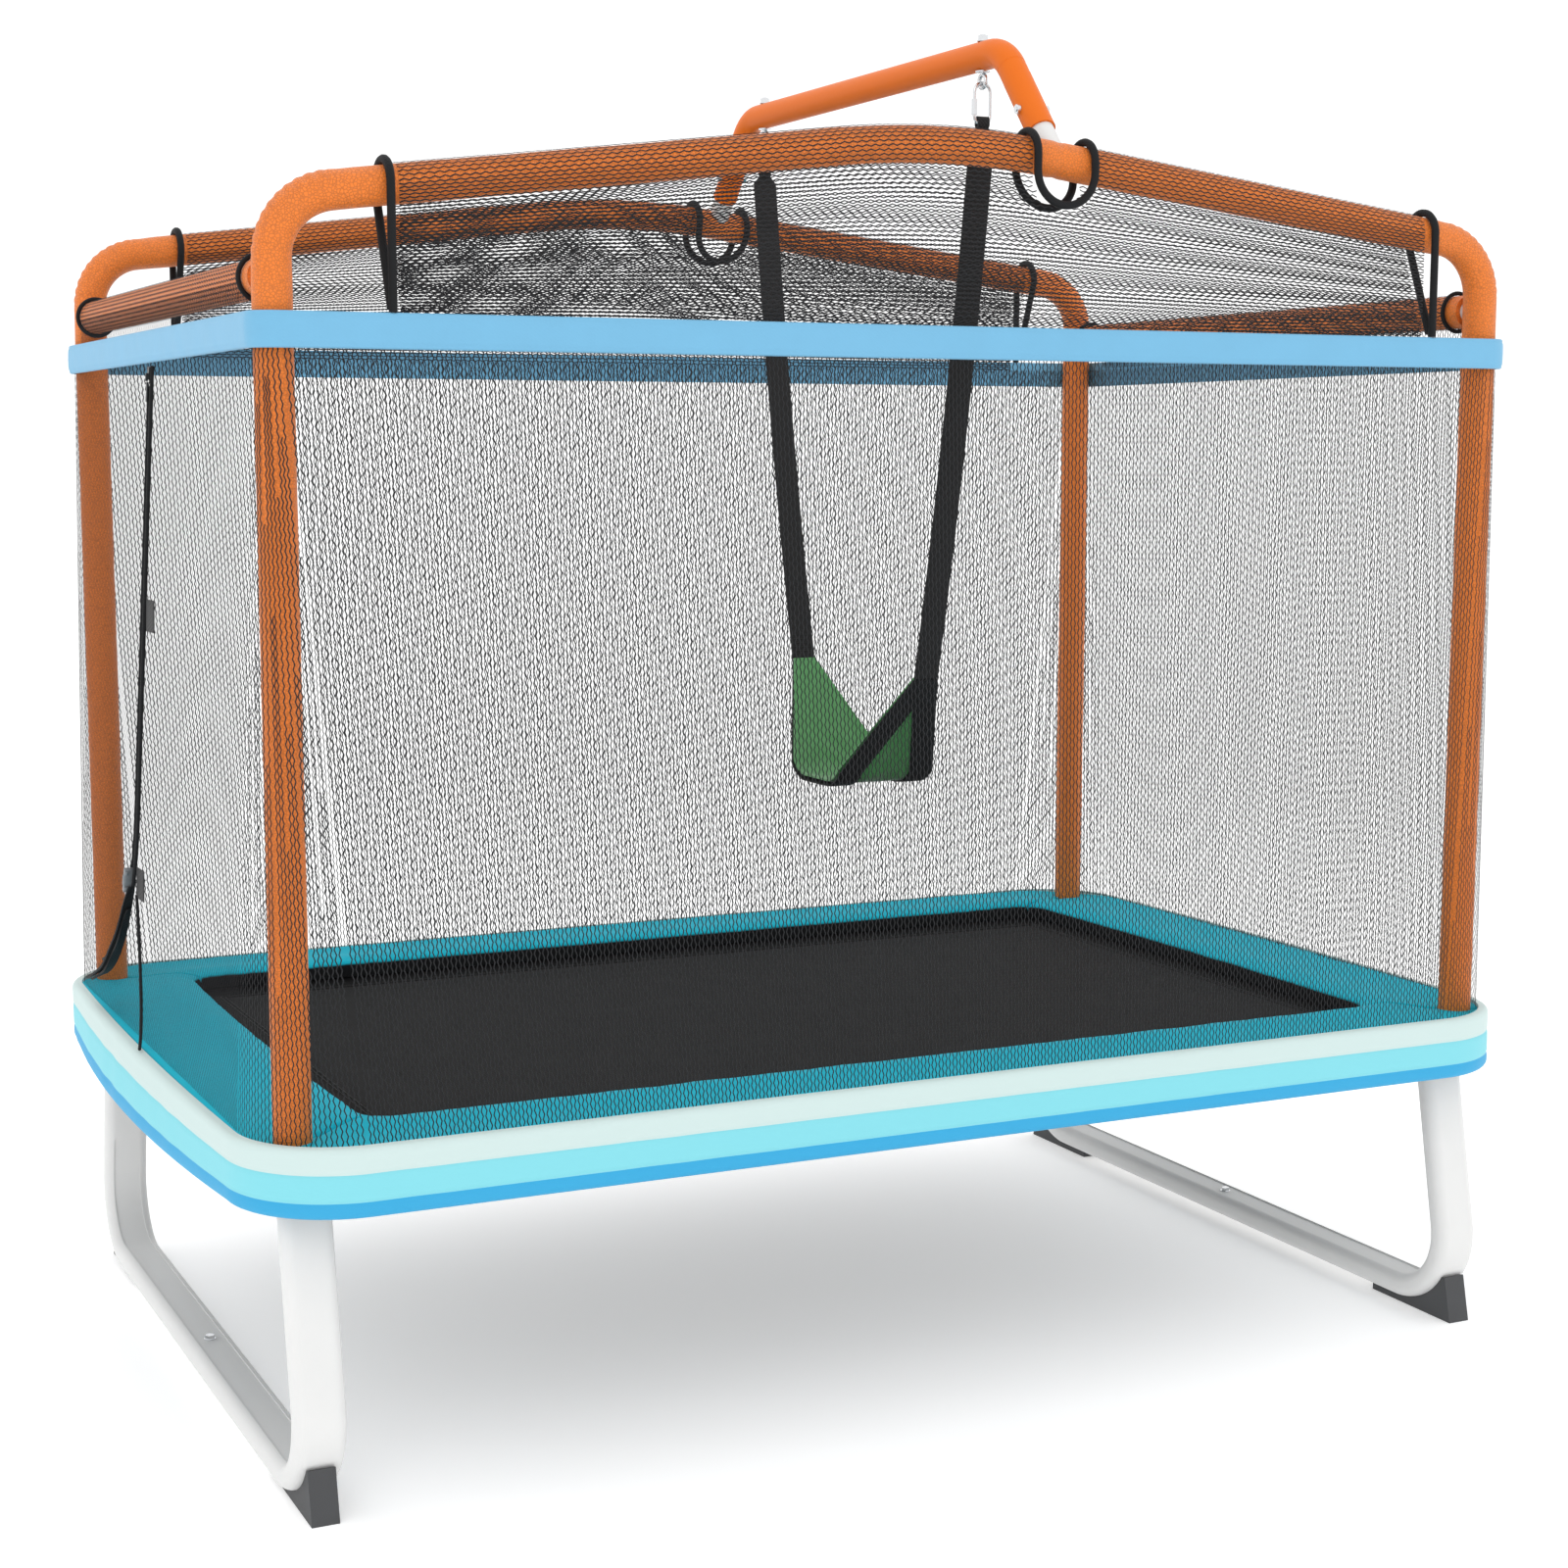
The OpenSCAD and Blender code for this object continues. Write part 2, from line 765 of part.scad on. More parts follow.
module cross_rails() {
    color("#E8E8E8")
        at_sides()
            translate([post_x, cross_end, cross_z])
                rotate([90, 0, 0])
                    tube(cross_r, cross_bore_r, 2 * cross_end);
}

// ---------- foam ----------

module post_foam() {
    color("#F27F22")
        translate([post_x, post_y, foam_z])
            tube(foam_r, foam_bore_r, joint_z - foam_z);
}
module post_foam_right_back() { post_foam(); }
module post_foam_right_front() { mirror([0, 1, 0]) post_foam(); }
module post_foam_left_back() { mirror([1, 0, 0]) post_foam(); }
module post_foam_left_front() { mirror([1, 0, 0]) mirror([0, 1, 0]) post_foam(); }

// Room for the tee in a rail's foam, at the back
module tee_room() {
    translate([swing_x, post_y, tee_z])
        rotate([0, 90 + rail_slope, 0])
            cylinder(r = tee_r + soft, h = tee_collar + 2 * soft, center = true);
    translate([swing_x, post_y, tee_z])
        rotate([bar_lean, 0, 0])
            cylinder(r = stub_r + soft, h = 60);
}

// Room for the cross rail in the elbow's foam, at the back right
module cross_room() {
    translate([post_x, post_y, cross_z])
        rotate([90, 0, 0])
            cylinder(r = cross_r + soft, h = 2 * foam_r);
}

module foam_right() {
    slope_l = (slope_x - swing_x) / cos(rail_slope) - soft / 2;
    color("#F27F22")
        difference() {
            at_back()
                rail_core(foam_r, joint_z, slope_l);
            at_back()
                rail_core(foam_bore_r, joint_z - 1, slope_l + 1);
            tee_room();
            cross_room();
        }
}

// Solids of radius r along the left rail, over the crown and on to the tee
module left_core(r, z0, end_l) {
    mirror([1, 0, 0]) {
        rail_core(r, z0, slope_len);
        crown_core(r - step, end_l);
    }
}

module foam_left() {
    end_l = (swing_x - crown_x) / cos(rail_slope) - soft / 2;
    color("#F27F22")
        difference() {
            at_back()
                left_core(foam_r, joint_z, end_l);
            at_back()
                left_core(foam_bore_r, joint_z - 1, end_l + 1);
            tee_room();
            mirror([1, 0, 0])
                cross_room();
        }
}
module rail_foam_right_back() { foam_right(); }
module rail_foam_right_front() { mirror([0, 1, 0]) foam_right(); }
module rail_foam_left_back() { foam_left(); }
module rail_foam_left_front() { mirror([0, 1, 0]) foam_left(); }

module cross_foam() {
    color("#F27F22")
        at_sides()
            translate([post_x, cross_foam_end, cross_z])
                rotate([90, 0, 0])
                    tube(foam_r, cross_r + soft, 2 * cross_foam_end);
}

// ---------- swing bar ----------

// Local frame at a tee at the back: Z runs up along the leaning stub
module along_stub() {
    translate([swing_x, post_y, tee_z])
        rotate([bar_lean, 0, 0])
            children();
}

module swing_tee() {
    color("#ECECEC")
        difference() {
            union() {
                translate([swing_x, post_y, tee_z])
                    rotate([0, 90 + rail_slope, 0])
                        cylinder(r = tee_r, h = tee_collar, center = true);
                along_stub()
                    cylinder(r = stub_r, h = stub_end);
            }
            translate([swing_x, post_y, tee_z])
                rotate([0, 90 + rail_slope, 0])
                    cylinder(r = tee_bore_r, h = far, center = true);
            along_stub()
                cylinder(r = stub_r - stub_wall, h = far);
            along_stub()
                translate([0, 0, bolt_s])
                    rotate([0, 90, 0])
                        cylinder(r = 3 + fit, h = far, center = true);
        }
}
module swing_tee_back() { swing_tee(); }
module swing_tee_front() { mirror([0, 1, 0]) swing_tee(); }

module swing_upright() {
    color("#F0803A")
        difference() {
            along_stub()
                translate([0, 0, sleeve_s0])
                    tube(bar_r, bar_bore_r, sleeve_s1 - sleeve_s0);
            along_stub()
                translate([0, 0, bolt_s])
                    rotate([0, 90, 0])
                        cylinder(r = 3 + fit, h = far, center = true);
        }
}
module swing_upright_back() { swing_upright(); }
module swing_upright_front() { mirror([0, 1, 0]) swing_upright(); }

// Solids of radius r along the swing bar, its ends lengthened by extra
module bar_core(r, extra) {
    at_ends() {
        translate([swing_x, 0, bar_z])
            rod(r, bar_bend_y);
        translate([swing_x, bar_bend_y, bar_z])
            rotate([0, -90, 0]) {
                turn_rod(r, bar_bend_r, bar_turn);
                after_turn(bar_bend_r, bar_turn)
                    translate([0, -lap, 0])
                        rod(r - step, bar_corner_s - bar_tangent - sleeve_s1 - fit + lap + extra);
            }
    }
}

module swing_bar() {
    color("#F0803A")
        difference() {
            bar_core(bar_r, 0);
            bar_core(bar_bore_r + step, 1);
            for (y = [-eye_y, eye_y])
                translate([swing_x, y, bar_z])
                    cylinder(r = 4 + fit, h = 4 * bar_r, center = true);
        }
}

module swing_bolts() {
    head = 5;
    color("#C9CCCF")
        at_ends()
            along_stub()
                translate([0, 0, bolt_s])
                    rotate([0, 90, 0]) {
                        cylinder(r = 3, h = 2 * (bar_r + head), center = true);
                        translate([0, 0, bar_r])
                            cylinder(r = 6.5, h = head, $fn = 6);
                        translate([0, 0, -bar_r - 4])
                            cylinder(r = 6, h = 4);
                    }
}

module eye_bolts() {
    nut_h = 6;
    shank_z = eye_z + eye_r;
    color("#C9CCCF")
        at_ends()
            translate([swing_x, eye_y, 0]) {
                translate([0, 0, eye_z])
                    rotate([0, 90, 0])
                        rotate_extrude()
                            translate([eye_r, 0])
                                circle(eye_wire);
                translate([0, 0, shank_z])
                    cylinder(r = 4, h = bar_z + bar_r + nut_h + 3 - shank_z);
                translate([0, 0, bar_z - bar_r - washer_t])
                    cylinder(r = 10, h = washer_t);
                translate([0, 0, bar_z + bar_r])
                    cylinder(r = 8, h = washer_t);
                translate([0, 0, bar_z + bar_r + washer_t])
                    cylinder(r = 7.5, h = nut_h, $fn = 6);
            }
}

// ---------- mat and springs ----------

module mat() {
    color("#242424")
        translate([0, 0, mat_z - mat_t / 2])
            linear_extrude(mat_t)
                polygon(round_rect(2 * mat_x, 2 * mat_y, mat_r));
}

// The child at each spring's place, with X pointing out from the mat's edge
module at_springs() {
    for (i = [0:springs_long - 1])
        for (side = [90, 270])
            translate([(i - (springs_long - 1) / 2) * (2 * mat_x - 120) / (springs_long - 1),
                       side == 90 ? mat_y : -mat_y, mat_z])
                rotate([0, 0, side])
                    children();
    for (i = [0:springs_short - 1])
        for (side = [0, 180])
            translate([side == 0 ? mat_x : -mat_x,
                       (i - (springs_short - 1) / 2) * (2 * mat_y - 110) / (springs_short - 1),
                       mat_z])
                rotate([0, 0, side])
                    children();
}

module mat_rings() {
    color("#AEB2B6")
        at_springs()
            translate([0, 0, -ring_t / 2])
                linear_extrude(ring_t)
                    difference() {
                        polygon([[0, -11], [ring_out, -4], [ring_out, 4], [0, 11]]);
                        polygon([[3, -6.5], [ring_out - 3, -3], [ring_out - 3, 3], [3, 6.5]]);
                    }
}

module springs() {
    start = ring_out + soft;
    coil = spring_gap - start - hook_in - hook_out - soft;
    color("#BFC2C5")
        at_springs()
            translate([start, 0, 0])
                rotate([0, 90, 0]) {
                    cylinder(r = hook_r, h = hook_reach - start - soft);
                    translate([0, 0, hook_in])
                        cylinder(r = spring_d / 2, h = coil);
                }
}

// ---------- pads and skirt ----------

// The pads' section: X from the opening's edge outwards, Y up
function pad_section(w) = concat(
    [[0, 0], [0, pad_t - pad_edge_r]],
    [for (i = [1:5]) [pad_edge_r * (1 - cos(18 * i)), pad_t - pad_edge_r * (1 - sin(18 * i))
        + crown(pad_edge_r * (1 - cos(18 * i)) / w)]],
    [for (i = [1:10]) let (x = pad_edge_r + (w - pad_edge_r) * i / 10)
        [x, pad_t + crown(x / w)]],
    [[w, 0]]);

module pad_outline() {
    polygon(round_rect(2 * pad_out_x, 2 * pad_out_y, skirt_r - skirt_t - soft, 12));
}

// The region of the long or short sides' pads, parted through the posts
module pad_region(short_side) {
    m = 3 * [post_x - open_x, post_y - open_y];
    c = [open_x, open_y];
    if (short_side)
        polygon([c, c + m, [c[0] + m[0], -c[1] - m[1]], [c[0], -c[1]]]);
    else
        polygon([c, c + m, [-c[0] - m[0], c[1] + m[1]], [-c[0], c[1]]]);
}

module pad_cut(short_side) {
    linear_extrude(pad_t + pad_crown + 10)
        difference() {
            intersection() {
                pad_outline();
                pad_region(short_side);
            }
            polygon(open_pts);
            for (sx = [-1, 1], sy = [-1, 1])
                translate([sx * post_x, sy * post_y])
                    circle(post_r + 2 * soft);
        }
}
open_pts = round_rect(2 * open_x, 2 * open_y, open_r, 8);

module pad_long() {
    w = pad_out_y - open_y;
    color("#1FB6CF")
        translate([0, 0, pad_z])
            intersection() {
                translate([-pad_out_x, open_y, 0])
                    rotate([90, 0, 90])
                        linear_extrude(2 * pad_out_x)
                            polygon(pad_section(w));
                pad_cut(false);
            }
}

module pad_short() {
    w = pad_out_x - open_x;
    bow_r = (open_y * open_y + pad_bow * pad_bow) / (2 * pad_bow);
    color("#1FB6CF")
        translate([0, 0, pad_z])
            difference() {
                intersection() {
                    translate([open_x, pad_out_y, 0])
                        rotate([90, 0, 0])
                            linear_extrude(2 * pad_out_y)
                                polygon(pad_section(w));
                    pad_cut(true);
                }
                translate([open_x + pad_bow - bow_r, 0, -1])
                    cylinder(r = bow_r, h = pad_t + pad_crown + 10, $fn = 360);
            }
}
module pad_back() { pad_long(); }
module pad_front() { mirror([0, 1, 0]) pad_long(); }
module pad_right() { pad_short(); }
module pad_left() { mirror([1, 0, 0]) pad_short(); }

// The skirt's section, from height z0 to z1: X is inwards from its outer face
function skirt_section() = concat(
    [[-skirt_t, 0]],
    arc_pts([-9, 9], 9, 270, 360, 5),
    arc_pts([-6, skirt_top - skirt_z - 6], 6, 0, 90, 4),
    [[-skirt_t, skirt_top - skirt_z]]);

// One side of the skirt with half of each corner, lying along Y at the right
module skirt_side(half_len, out) {
    at_ends() {
        translate([out, half_len, skirt_z])
            rotate([90, 0, 0])
                linear_extrude(half_len)
                    polygon(skirt_section());
        translate([out - skirt_r, half_len, skirt_z])
            rotate_extrude(angle = 45)
                translate([skirt_r, 0])
                    polygon(skirt_section());
    }
}
module skirt_right() { color("#8FE3EC") skirt_side(skirt_cy, skirt_x); }
module skirt_left() { mirror([1, 0, 0]) skirt_right(); }
module skirt_back() { color("#8FE3EC") rotate([0, 0, 90]) skirt_side(skirt_cx, skirt_y); }
module skirt_front() { mirror([0, 1, 0]) skirt_back(); }

// ---------- enclosure net ----------

module net_panel(half_top, half_foot, v1, gaps) {
    linear_extrude(net_t)
        difference() {
            polygon([[-half_foot, 0], [half_foot, 0], [half_top, v1], [-half_top, v1]]);
            for (g = gaps)
                polygon(g);
        }
}

// Half the width of a panel at the height v in its plane
function panel_half(top, foot, h, v) = foot + (top - foot) * v / h;

// Gaps of a trapezoid panel, each a tall lozenge
function panel_gaps(top, foot, h, cols, rows, v_top) = [
    for (i = [0:cols - 1], j = [0:rows - 1])
        let (odd = i % 2,
             v = hem + (j + (odd == 0 ? 0.28 : 0.72)) * (v_top - 2 * hem) / rows,
             w = 2 * (panel_half(top, foot, h, v) - 2 * hem) / (cols + 1),
             u = (i - (cols - 1) / 2) * w,
             b = 0.45 * (v_top - 2 * hem) / rows,
             lo = max(v - b, hem), hi = min(v + b, v_top - hem))
        [[u - w + strand / 2, v], [u, lo], [u + w - strand / 2, v], [u, hi]]];

module at_long_panel() {
    mirror([0, 1, 0])
        translate([0, -(net_foot_y - net_t), net_z0])
            rotate([-tilt_y, 0, 0])
                rotate([90, 0, 0])
                    children();
}

module at_short_panel() {
    translate([net_foot_x - net_t, 0, net_z0])
        rotate([0, -tilt_x, 0])
            rotate([90, 0, 90])
                children();
}

module net_long() {
    color("#2B2B2B")
        at_long_panel()
            net_panel(post_x, skirt_cx, panel_y_h,
                      panel_gaps(post_x, skirt_cx, panel_y_h, 21, 4, panel_y_h - band_h));
}
module net_back() { net_long(); }
module net_front() { mirror([0, 1, 0]) net_long(); }

// The upright strip of a short side's net, from the band up to the cross rail
module net_upper_strip() {
    translate([post_x + net_off - net_t, -cross_ring_y + 2 * cross_ring_r, band_top])
        cube([net_t, 2 * (cross_ring_y - 2 * cross_ring_r), side_top - band_top]);
}

module net_right() {
    color("#2B2B2B") {
        at_short_panel()
            net_panel(post_y, skirt_cy, panel_x_h,
                      panel_gaps(post_y, skirt_cy, panel_x_h, 12, 4, panel_x_h - band_h));
        net_upper_strip();
    }
}

// The zip's curve from the point d0 along it to its end, shifted by off
function zip_curve(d0, off) = concat([zip_pt(d0, off)],
    [for (i = [0:16]) zip_pt(zip_straight + (zip_len - zip_straight) * i / 16, off)]);

gap_side = panel_gaps(post_y, skirt_cy, panel_x_h, 12, 4, panel_x_h - band_h);

module net_left() {
    color("#2B2B2B")
        mirror([1, 0, 0]) {
            at_short_panel()
                linear_extrude(net_t)
                    difference() {
                        polygon([[-skirt_cy, 0], [skirt_cy, 0],
                                 [post_y, panel_x_h], [-post_y, panel_x_h]]);
                        polygon(concat(zip_curve(door_drop, -soft / 2),
                            [[far, zip_pt(zip_len, 0)[1]], [far, door_top + soft]]));
                        for (g = gap_side)
                            if (g[2][0] < zip_at(g[1][1]) - 2 * tape_w
                                && g[2][0] < zip_at(g[3][1]) - 2 * tape_w)
                                polygon(g);
                    }
            net_upper_strip();
        }
}

module door_panel() {
    tip_v = zip_pt(zip_len, 0)[1];
    back_top = panel_half(post_y, skirt_cy, panel_x_h, door_top) - soft;
    back_tip = panel_half(post_y, skirt_cy, panel_x_h, tip_v) - soft;
    color("#2B2B2B")
        mirror([1, 0, 0])
            at_short_panel()
                linear_extrude(net_t)
                    difference() {
                        intersection() {
                            polygon(concat(zip_curve(door_drop, soft / 2),
                                [[far, tip_v + soft], [far, door_top]]));
                            polygon([[-far, tip_v + soft], [back_tip, tip_v + soft],
                                     [back_top, door_top], [-far, door_top]]);
                        }
                        for (g = gap_side)
                            if (g[0][0] > zip_at(g[1][1]) + 2 * tape_w
                                && g[3][1] < door_top - hem && g[1][1] > tip_v + hem)
                                polygon(g);
                    }
}

// The net round the posts: upright arcs at the top, wide arcs at the foot, over the pads
module net_corners() {
    n = 8;
    rise = (foam_z - net_z0) / net_h;
    stations = [for (i = [0:n])
        let (a = 90 * i / n, d = [cos(a), sin(a)])
        [for (k = [0:3])
            let (t = k == 0 || k == 3 ? 0 : net_t,
                 top = [post_x, post_y] + (net_off - t) * d,
                 foot = [skirt_cx, skirt_cy] + (net_foot_r - t) * d,
                 p = k < 2 ? foot + (top - foot) * rise : top)
            [p[0], p[1], k < 2 ? foam_z : band_top]]];
    color("#2B2B2B")
        at_corners()
            loft(stations);
}

// ---------- net sleeves over the long rails ----------

// Angle, below level, where the sleeve's inner layer leaves the rail
function leave_angle(x, r) =
    let (dy = sleeve_foot_y - post_y, dz = rail_z(x) - band_top - soft, d = norm([dy, dz]))
    asin((r + dy) / d);

// A point of the sleeve's inner layer at the back, f from the foot up to the rail
function inner_pt(x, r, f) =
    let (a = leave_angle(x, r),
         rail = [post_y - r * cos(a), rail_z(x) - r * sin(a)],
         foot = [sleeve_foot_y - (r - sleeve_r), band_top + soft])
    foot + f * (rail - foot);

// A section of the sleeve: over the rail and down its inner layer
function sleeve_loop(x) =
    let (side = function(r) concat(
             [for (i = [0:wrap_n]) let (a = (180 + leave_angle(x, r)) * i / wrap_n)
                 [post_y + r * cos(a), rail_z(x) + r * sin(a)]],
             [inner_pt(x, r, 0)]),
         pts = concat(side(sleeve_r + net_t), reversed(side(sleeve_r))))
    [for (p = pts) [x, p[0], p[1]]];

function cut_z(x) = let (dx = min(abs(x - swing_x), notch_half))
    tee_z - notch_depth + notch_half - sqrt(notch_half * notch_half - dx * dx);

// The inner layer's stretch under the notch
function notch_loop(x) =
    let (foot = band_top + soft,
         f = (cut_z(x) - foot) / (inner_pt(x, sleeve_r, 1)[1] - foot),
         ri = sleeve_r, ro = sleeve_r + net_t,
         pts = [inner_pt(x, ro, f), inner_pt(x, ro, 0), inner_pt(x, ri, 0), inner_pt(x, ri, f)])
    [for (p = pts) [x, p[0], p[1]]];

function spread(a, b, n) = [for (i = [0:n]) a + (b - a) * i / n];

sleeve_a = -sleeve_left + 2 * binding_r;
sleeve_b = sleeve_right - 2 * binding_r;
notch_a = swing_x - notch_half;
notch_b = swing_x + notch_half;

// The sleeve's outer layer, with a row of wide gaps
module sleeve_outer() {
    gaps = [for (i = [0:17])
        let (w = (sleeve_b - sleeve_a - 60) / 9,
             u = sleeve_a + 30 + (floor(i / 2) + (i % 2 == 0 ? 0.5 : 1)) * w,
             low = i % 2 == 0,
             lo = band_top + hem, hi = rail_z(u + (u < 0 ? -w : w) / 2) - foam_r - hem,
             v = lo + (low ? 0.27 : 0.73) * (hi - lo), b = 0.24 * (hi - lo))
        if ((low || abs(u - swing_x) > notch_half + w * 0.55) && u + w / 2 < sleeve_b)
        [[u - w / 2 + strand / 2, v], [u, v - b], [u + w / 2 - strand / 2, v], [u, v + b]]];
    top = concat(
        [for (x = spread(sleeve_a, notch_a, 16)) [x, rail_z(x) - seam]],
        [for (x = spread(notch_a, notch_b, 16)) [x, cut_z(x)]],
        [for (x = spread(notch_b, sleeve_b, 6)) [x, rail_z(x) - seam]]);
    mirror([0, 1, 0])
        translate([0, -(post_y + sleeve_r), 0])
            rotate([90, 0, 0])
                linear_extrude(net_t)
                    difference() {
                        polygon(concat([[sleeve_a, band_top + soft]], top,
                                       [[sleeve_b, band_top + soft]]));
                        for (g = gaps)
                            polygon(g);
                    }
}

module net_sleeve() {
    color("#2B2B2B") {
        sleeve_outer();
        loft([for (x = spread(sleeve_a, notch_a, 24)) sleeve_loop(x)]);
        loft([for (x = spread(notch_b, sleeve_b, 8)) sleeve_loop(x)]);
        loft([for (x = spread(notch_a + seam, notch_b - seam, 16)) notch_loop(x)]);
    }
}
module net_sleeve_back() { net_sleeve(); }
module net_sleeve_front() { mirror([0, 1, 0]) net_sleeve(); }

module cross_sleeves() {
    half = cross_ring_y - cross_ring_r - soft;
    color("#2B2B2B")
        at_sides()
            translate([post_x, half, cross_z])
                rotate([90, 0, 0])
                    tube(cross_sleeve_r + net_t, cross_sleeve_r, 2 * half);
}

// The band's section: X is outwards, Y up
function band_section() = concat(
    arc_pts([band_t - 3, 3], 3, -90, 0, 3),
    arc_pts([band_t - 3, band_h - 3], 3, 0, 90, 3),
    [[0, band_h], [0, 0]]);

module band_side(half, out) {
    translate([out, half, band_z])
        rotate([90, 0, 0])
            linear_extrude(2 * half)
                polygon(band_section());
}

module net_band() {
    color("#7DC3EE") {
        at_sides()
            band_side(post_y, post_x + band_off);
        for (a = [90, 270])
            rotate([0, 0, a])
                band_side(post_x, post_y + band_off);
        at_corners()
            translate([post_x, post_y, band_z])
                rotate_extrude(angle = 90)
                    translate([band_off, 0])
                        polygon(band_section());
    }
}

// ---------- bindings ----------

// At the back, at x: a binding of radius r down the sleeve's outer side, over the rail, and
// on down its inner side, for the given lengths
module rail_wrap(x, r, outer_l, inner_l) {
    translate([x, post_y, rail_z(x)])
        rotate([90, 0, 90]) {
            rotate_extrude(angle = 180 + leave_angle(x, wrap_r))
                translate([wrap_r, 0])
                    circle(r);
            translate([wrap_r, 0, 0])
                rotate([90, 0, 0])
                    cylinder(r = r, h = outer_l);
            rotate([0, 0, 180 + leave_angle(x, wrap_r)])
                translate([wrap_r, -lap, 0])
                    rod(r - step, inner_l + lap);
        }
}

// Length of the inner side of a binding at x, from the rail down to the height z
function inner_len(x, z) =
    let (a = leave_angle(x, wrap_r)) (rail_z(x) - wrap_r * sin(a) - z) / cos(a);

module sleeve_bindings() {
    foot_z = band_top + soft;
    color("#161616")
        at_ends()
            for (x = [-sleeve_left, sleeve_right])
                rail_wrap(x, binding_r - soft, rail_z(x) - foot_z, inner_len(x, foot_z + 5));
}

// A U of binding in the XY plane, open upwards, its ends at height 0
module notch_u(r_major) {
    rotate([0, 0, 180])
        rotate_extrude(angle = 180)
            translate([r_major, 0])
                circle(binding_r - soft);
}

module notch_bindings() {
    r = notch_half - binding_r;
    drop = notch_depth - binding_r;
    u_z = tee_z - drop + r;
    a = leave_angle(swing_x, wrap_r);
    color("#161616")
        at_ends() {
            for (x = [swing_x - r, swing_x + r])
                rail_wrap(x, binding_r - soft - step, rail_z(x) - u_z + lap,
                          inner_len(x, u_z) + lap);
            translate([swing_x, post_y + wrap_r, u_z])
                rotate([90, 0, 0])
                    notch_u(r);
            translate([swing_x, post_y - wrap_r * cos(a) + (tee_z - wrap_r * sin(a) - u_z) * tan(a), u_z])
                rotate([90 + a, 0, 0])
                    notch_u(r);
        }
}

module cross_bindings() {
    color("#161616")
        at_corners()
            translate([post_x, cross_ring_y, cross_z])
                rotate([90, 0, 0])
                    rotate_extrude()
                        translate([foam_r + soft + cross_ring_r, 0])
                            circle(cross_ring_r);
}

// ---------- zip ----------

// A strip along the zip between two offsets, from d0 to d1
module zip_strip(d0, off_a, off_b, t) {
    linear_extrude(t)
        polygon(concat(zip_curve(d0, off_a), reversed(zip_curve(d0, off_b))));
}

module on_door_side() {
    mirror([1, 0, 0])
        at_short_panel()
            translate([0, 0, net_t])
                children();
}

module zip_tape() {
    color("#161616")
        on_door_side()
            zip_strip(0, -tape_w, -soft, 1.6);
}

module door_tape() {
    color("#161616")
        on_door_side()
            zip_strip(door_drop, soft, tape_w, 1.6);
}

module zip_slider() {
    color("#3A3C3E")
        on_door_side()
            translate([zip_y, zip_v0, 1.6 + soft])
                rotate([0, 0, zip_lean]) {
                    translate([-5, -18, 0])
                        cube([10, 16, 4]);
                    translate([-1.5, -20, 4])
                        cube([3, 10, 3]);
                }
}

// Hook-and-loop straps that hold the zip's flap down
module door_straps() {
    color("#161616")
        on_door_side()
            for (drop = patch_drops)
                let (v = zip_v0 - drop + patch_h / 2)
                    translate([zip_at(v, -tape_w - soft), v, 0])
                        rotate([0, 0, 180])
                            cube([patch_w, patch_h, 2]);
}

// ---------- swing ----------

module quick_links() {
    color("#D2D4D6")
        at_ends()
            translate([swing_x, eye_y, 0]) {
                for (s = [-1, 1])
                    translate([s * link_r, 0, link_z0 + link_r])
                        cylinder(r = link_wire, h = link_len - 2 * link_r);
                translate([0, 0, link_z1 - link_r])
                    rotate([90, 0, 0])
                        bend_solid(link_wire, link_r, 0, 180);
                translate([0, 0, link_z0 + link_r])
                    rotate([90, 0, 0])
                        bend_solid(link_wire, link_r, 180, 180);
                translate([-link_r, 0, link_z0 + link_r])
                    cylinder(r = 4.5, h = 20, $fn = 6);
            }
}

// Centre of a strap at the back, t from its lower to its upper end
strap_foot = seat_pt(1, web_off) + [0, web_t / 2 * sin(side_lean) + soft];
function strap_pt(t) = strap_foot
    + t * ([eye_y, strap_z1] - strap_foot) + [36 * t * (1 - t), 0];

// Round the foot of a quick link, with room for its bend
module loop2d(r) {
    hull() {
        circle(r);
        translate([0, 2 * link_wire])
            circle(r);
    }
}

module seat_straps() {
    loop_w = 2 * (link_r - link_wire) - 2;
    pts = [for (i = [0:16]) strap_pt(i / 16)];
    color("#1B1B1B")
        at_ends() {
            translate([swing_x - web_w / 2, 0, 0])
                rotate([90, 0, 90])
                    linear_extrude(web_w)
                        polygon(concat([for (p = pts) p - [web_t / 2, 0]],
                                       [for (p = reversed(pts)) p + [web_t / 2, 0]]));
            translate([swing_x, eye_y + web_t / 2, 0])
                rotate([90, 0, 0])
                    linear_extrude(web_t)
                        polygon([[-web_w / 2, strap_z1], [web_w / 2, strap_z1],
                                 [loop_w / 2, link_z0 - link_wire - 1],
                                 [-loop_w / 2, link_z0 - link_wire - 1]]);
            translate([swing_x - loop_w / 2, eye_y, link_z0])
                rotate([90, 0, 90])
                    linear_extrude(loop_w)
                        difference() {
                            loop2d(link_wire + fit + web_t);
                            loop2d(link_wire + fit);
                        }
        }
}

// The sling: a sheet along the seat's line, its long edges curled up a little
module seat_sling() {
    n = 36;
    m = 8;
    curl = 5;
    stations = [for (i = [0:n])
        let (s = -1 + 2 * i / n, w = seat_w(s),
             lift = curl * (w - web_w / 2) / (seat_half_x - web_w / 2))
        [for (k = [0:2 * m + 1])
            let (under = k <= m, j = under ? k : 2 * m + 1 - k,
                 x = -w + 2 * w * j / m,
                 off = (under ? seat_t / 2 : -seat_t / 2) - lift * pow(x / w, 4),
                 p = seat_pt(s, off))
            [swing_x + x, p[0], p[1]]]];
    color("#3F8A45")
        loft([for (i = [n:-1:0]) stations[i]]);
}

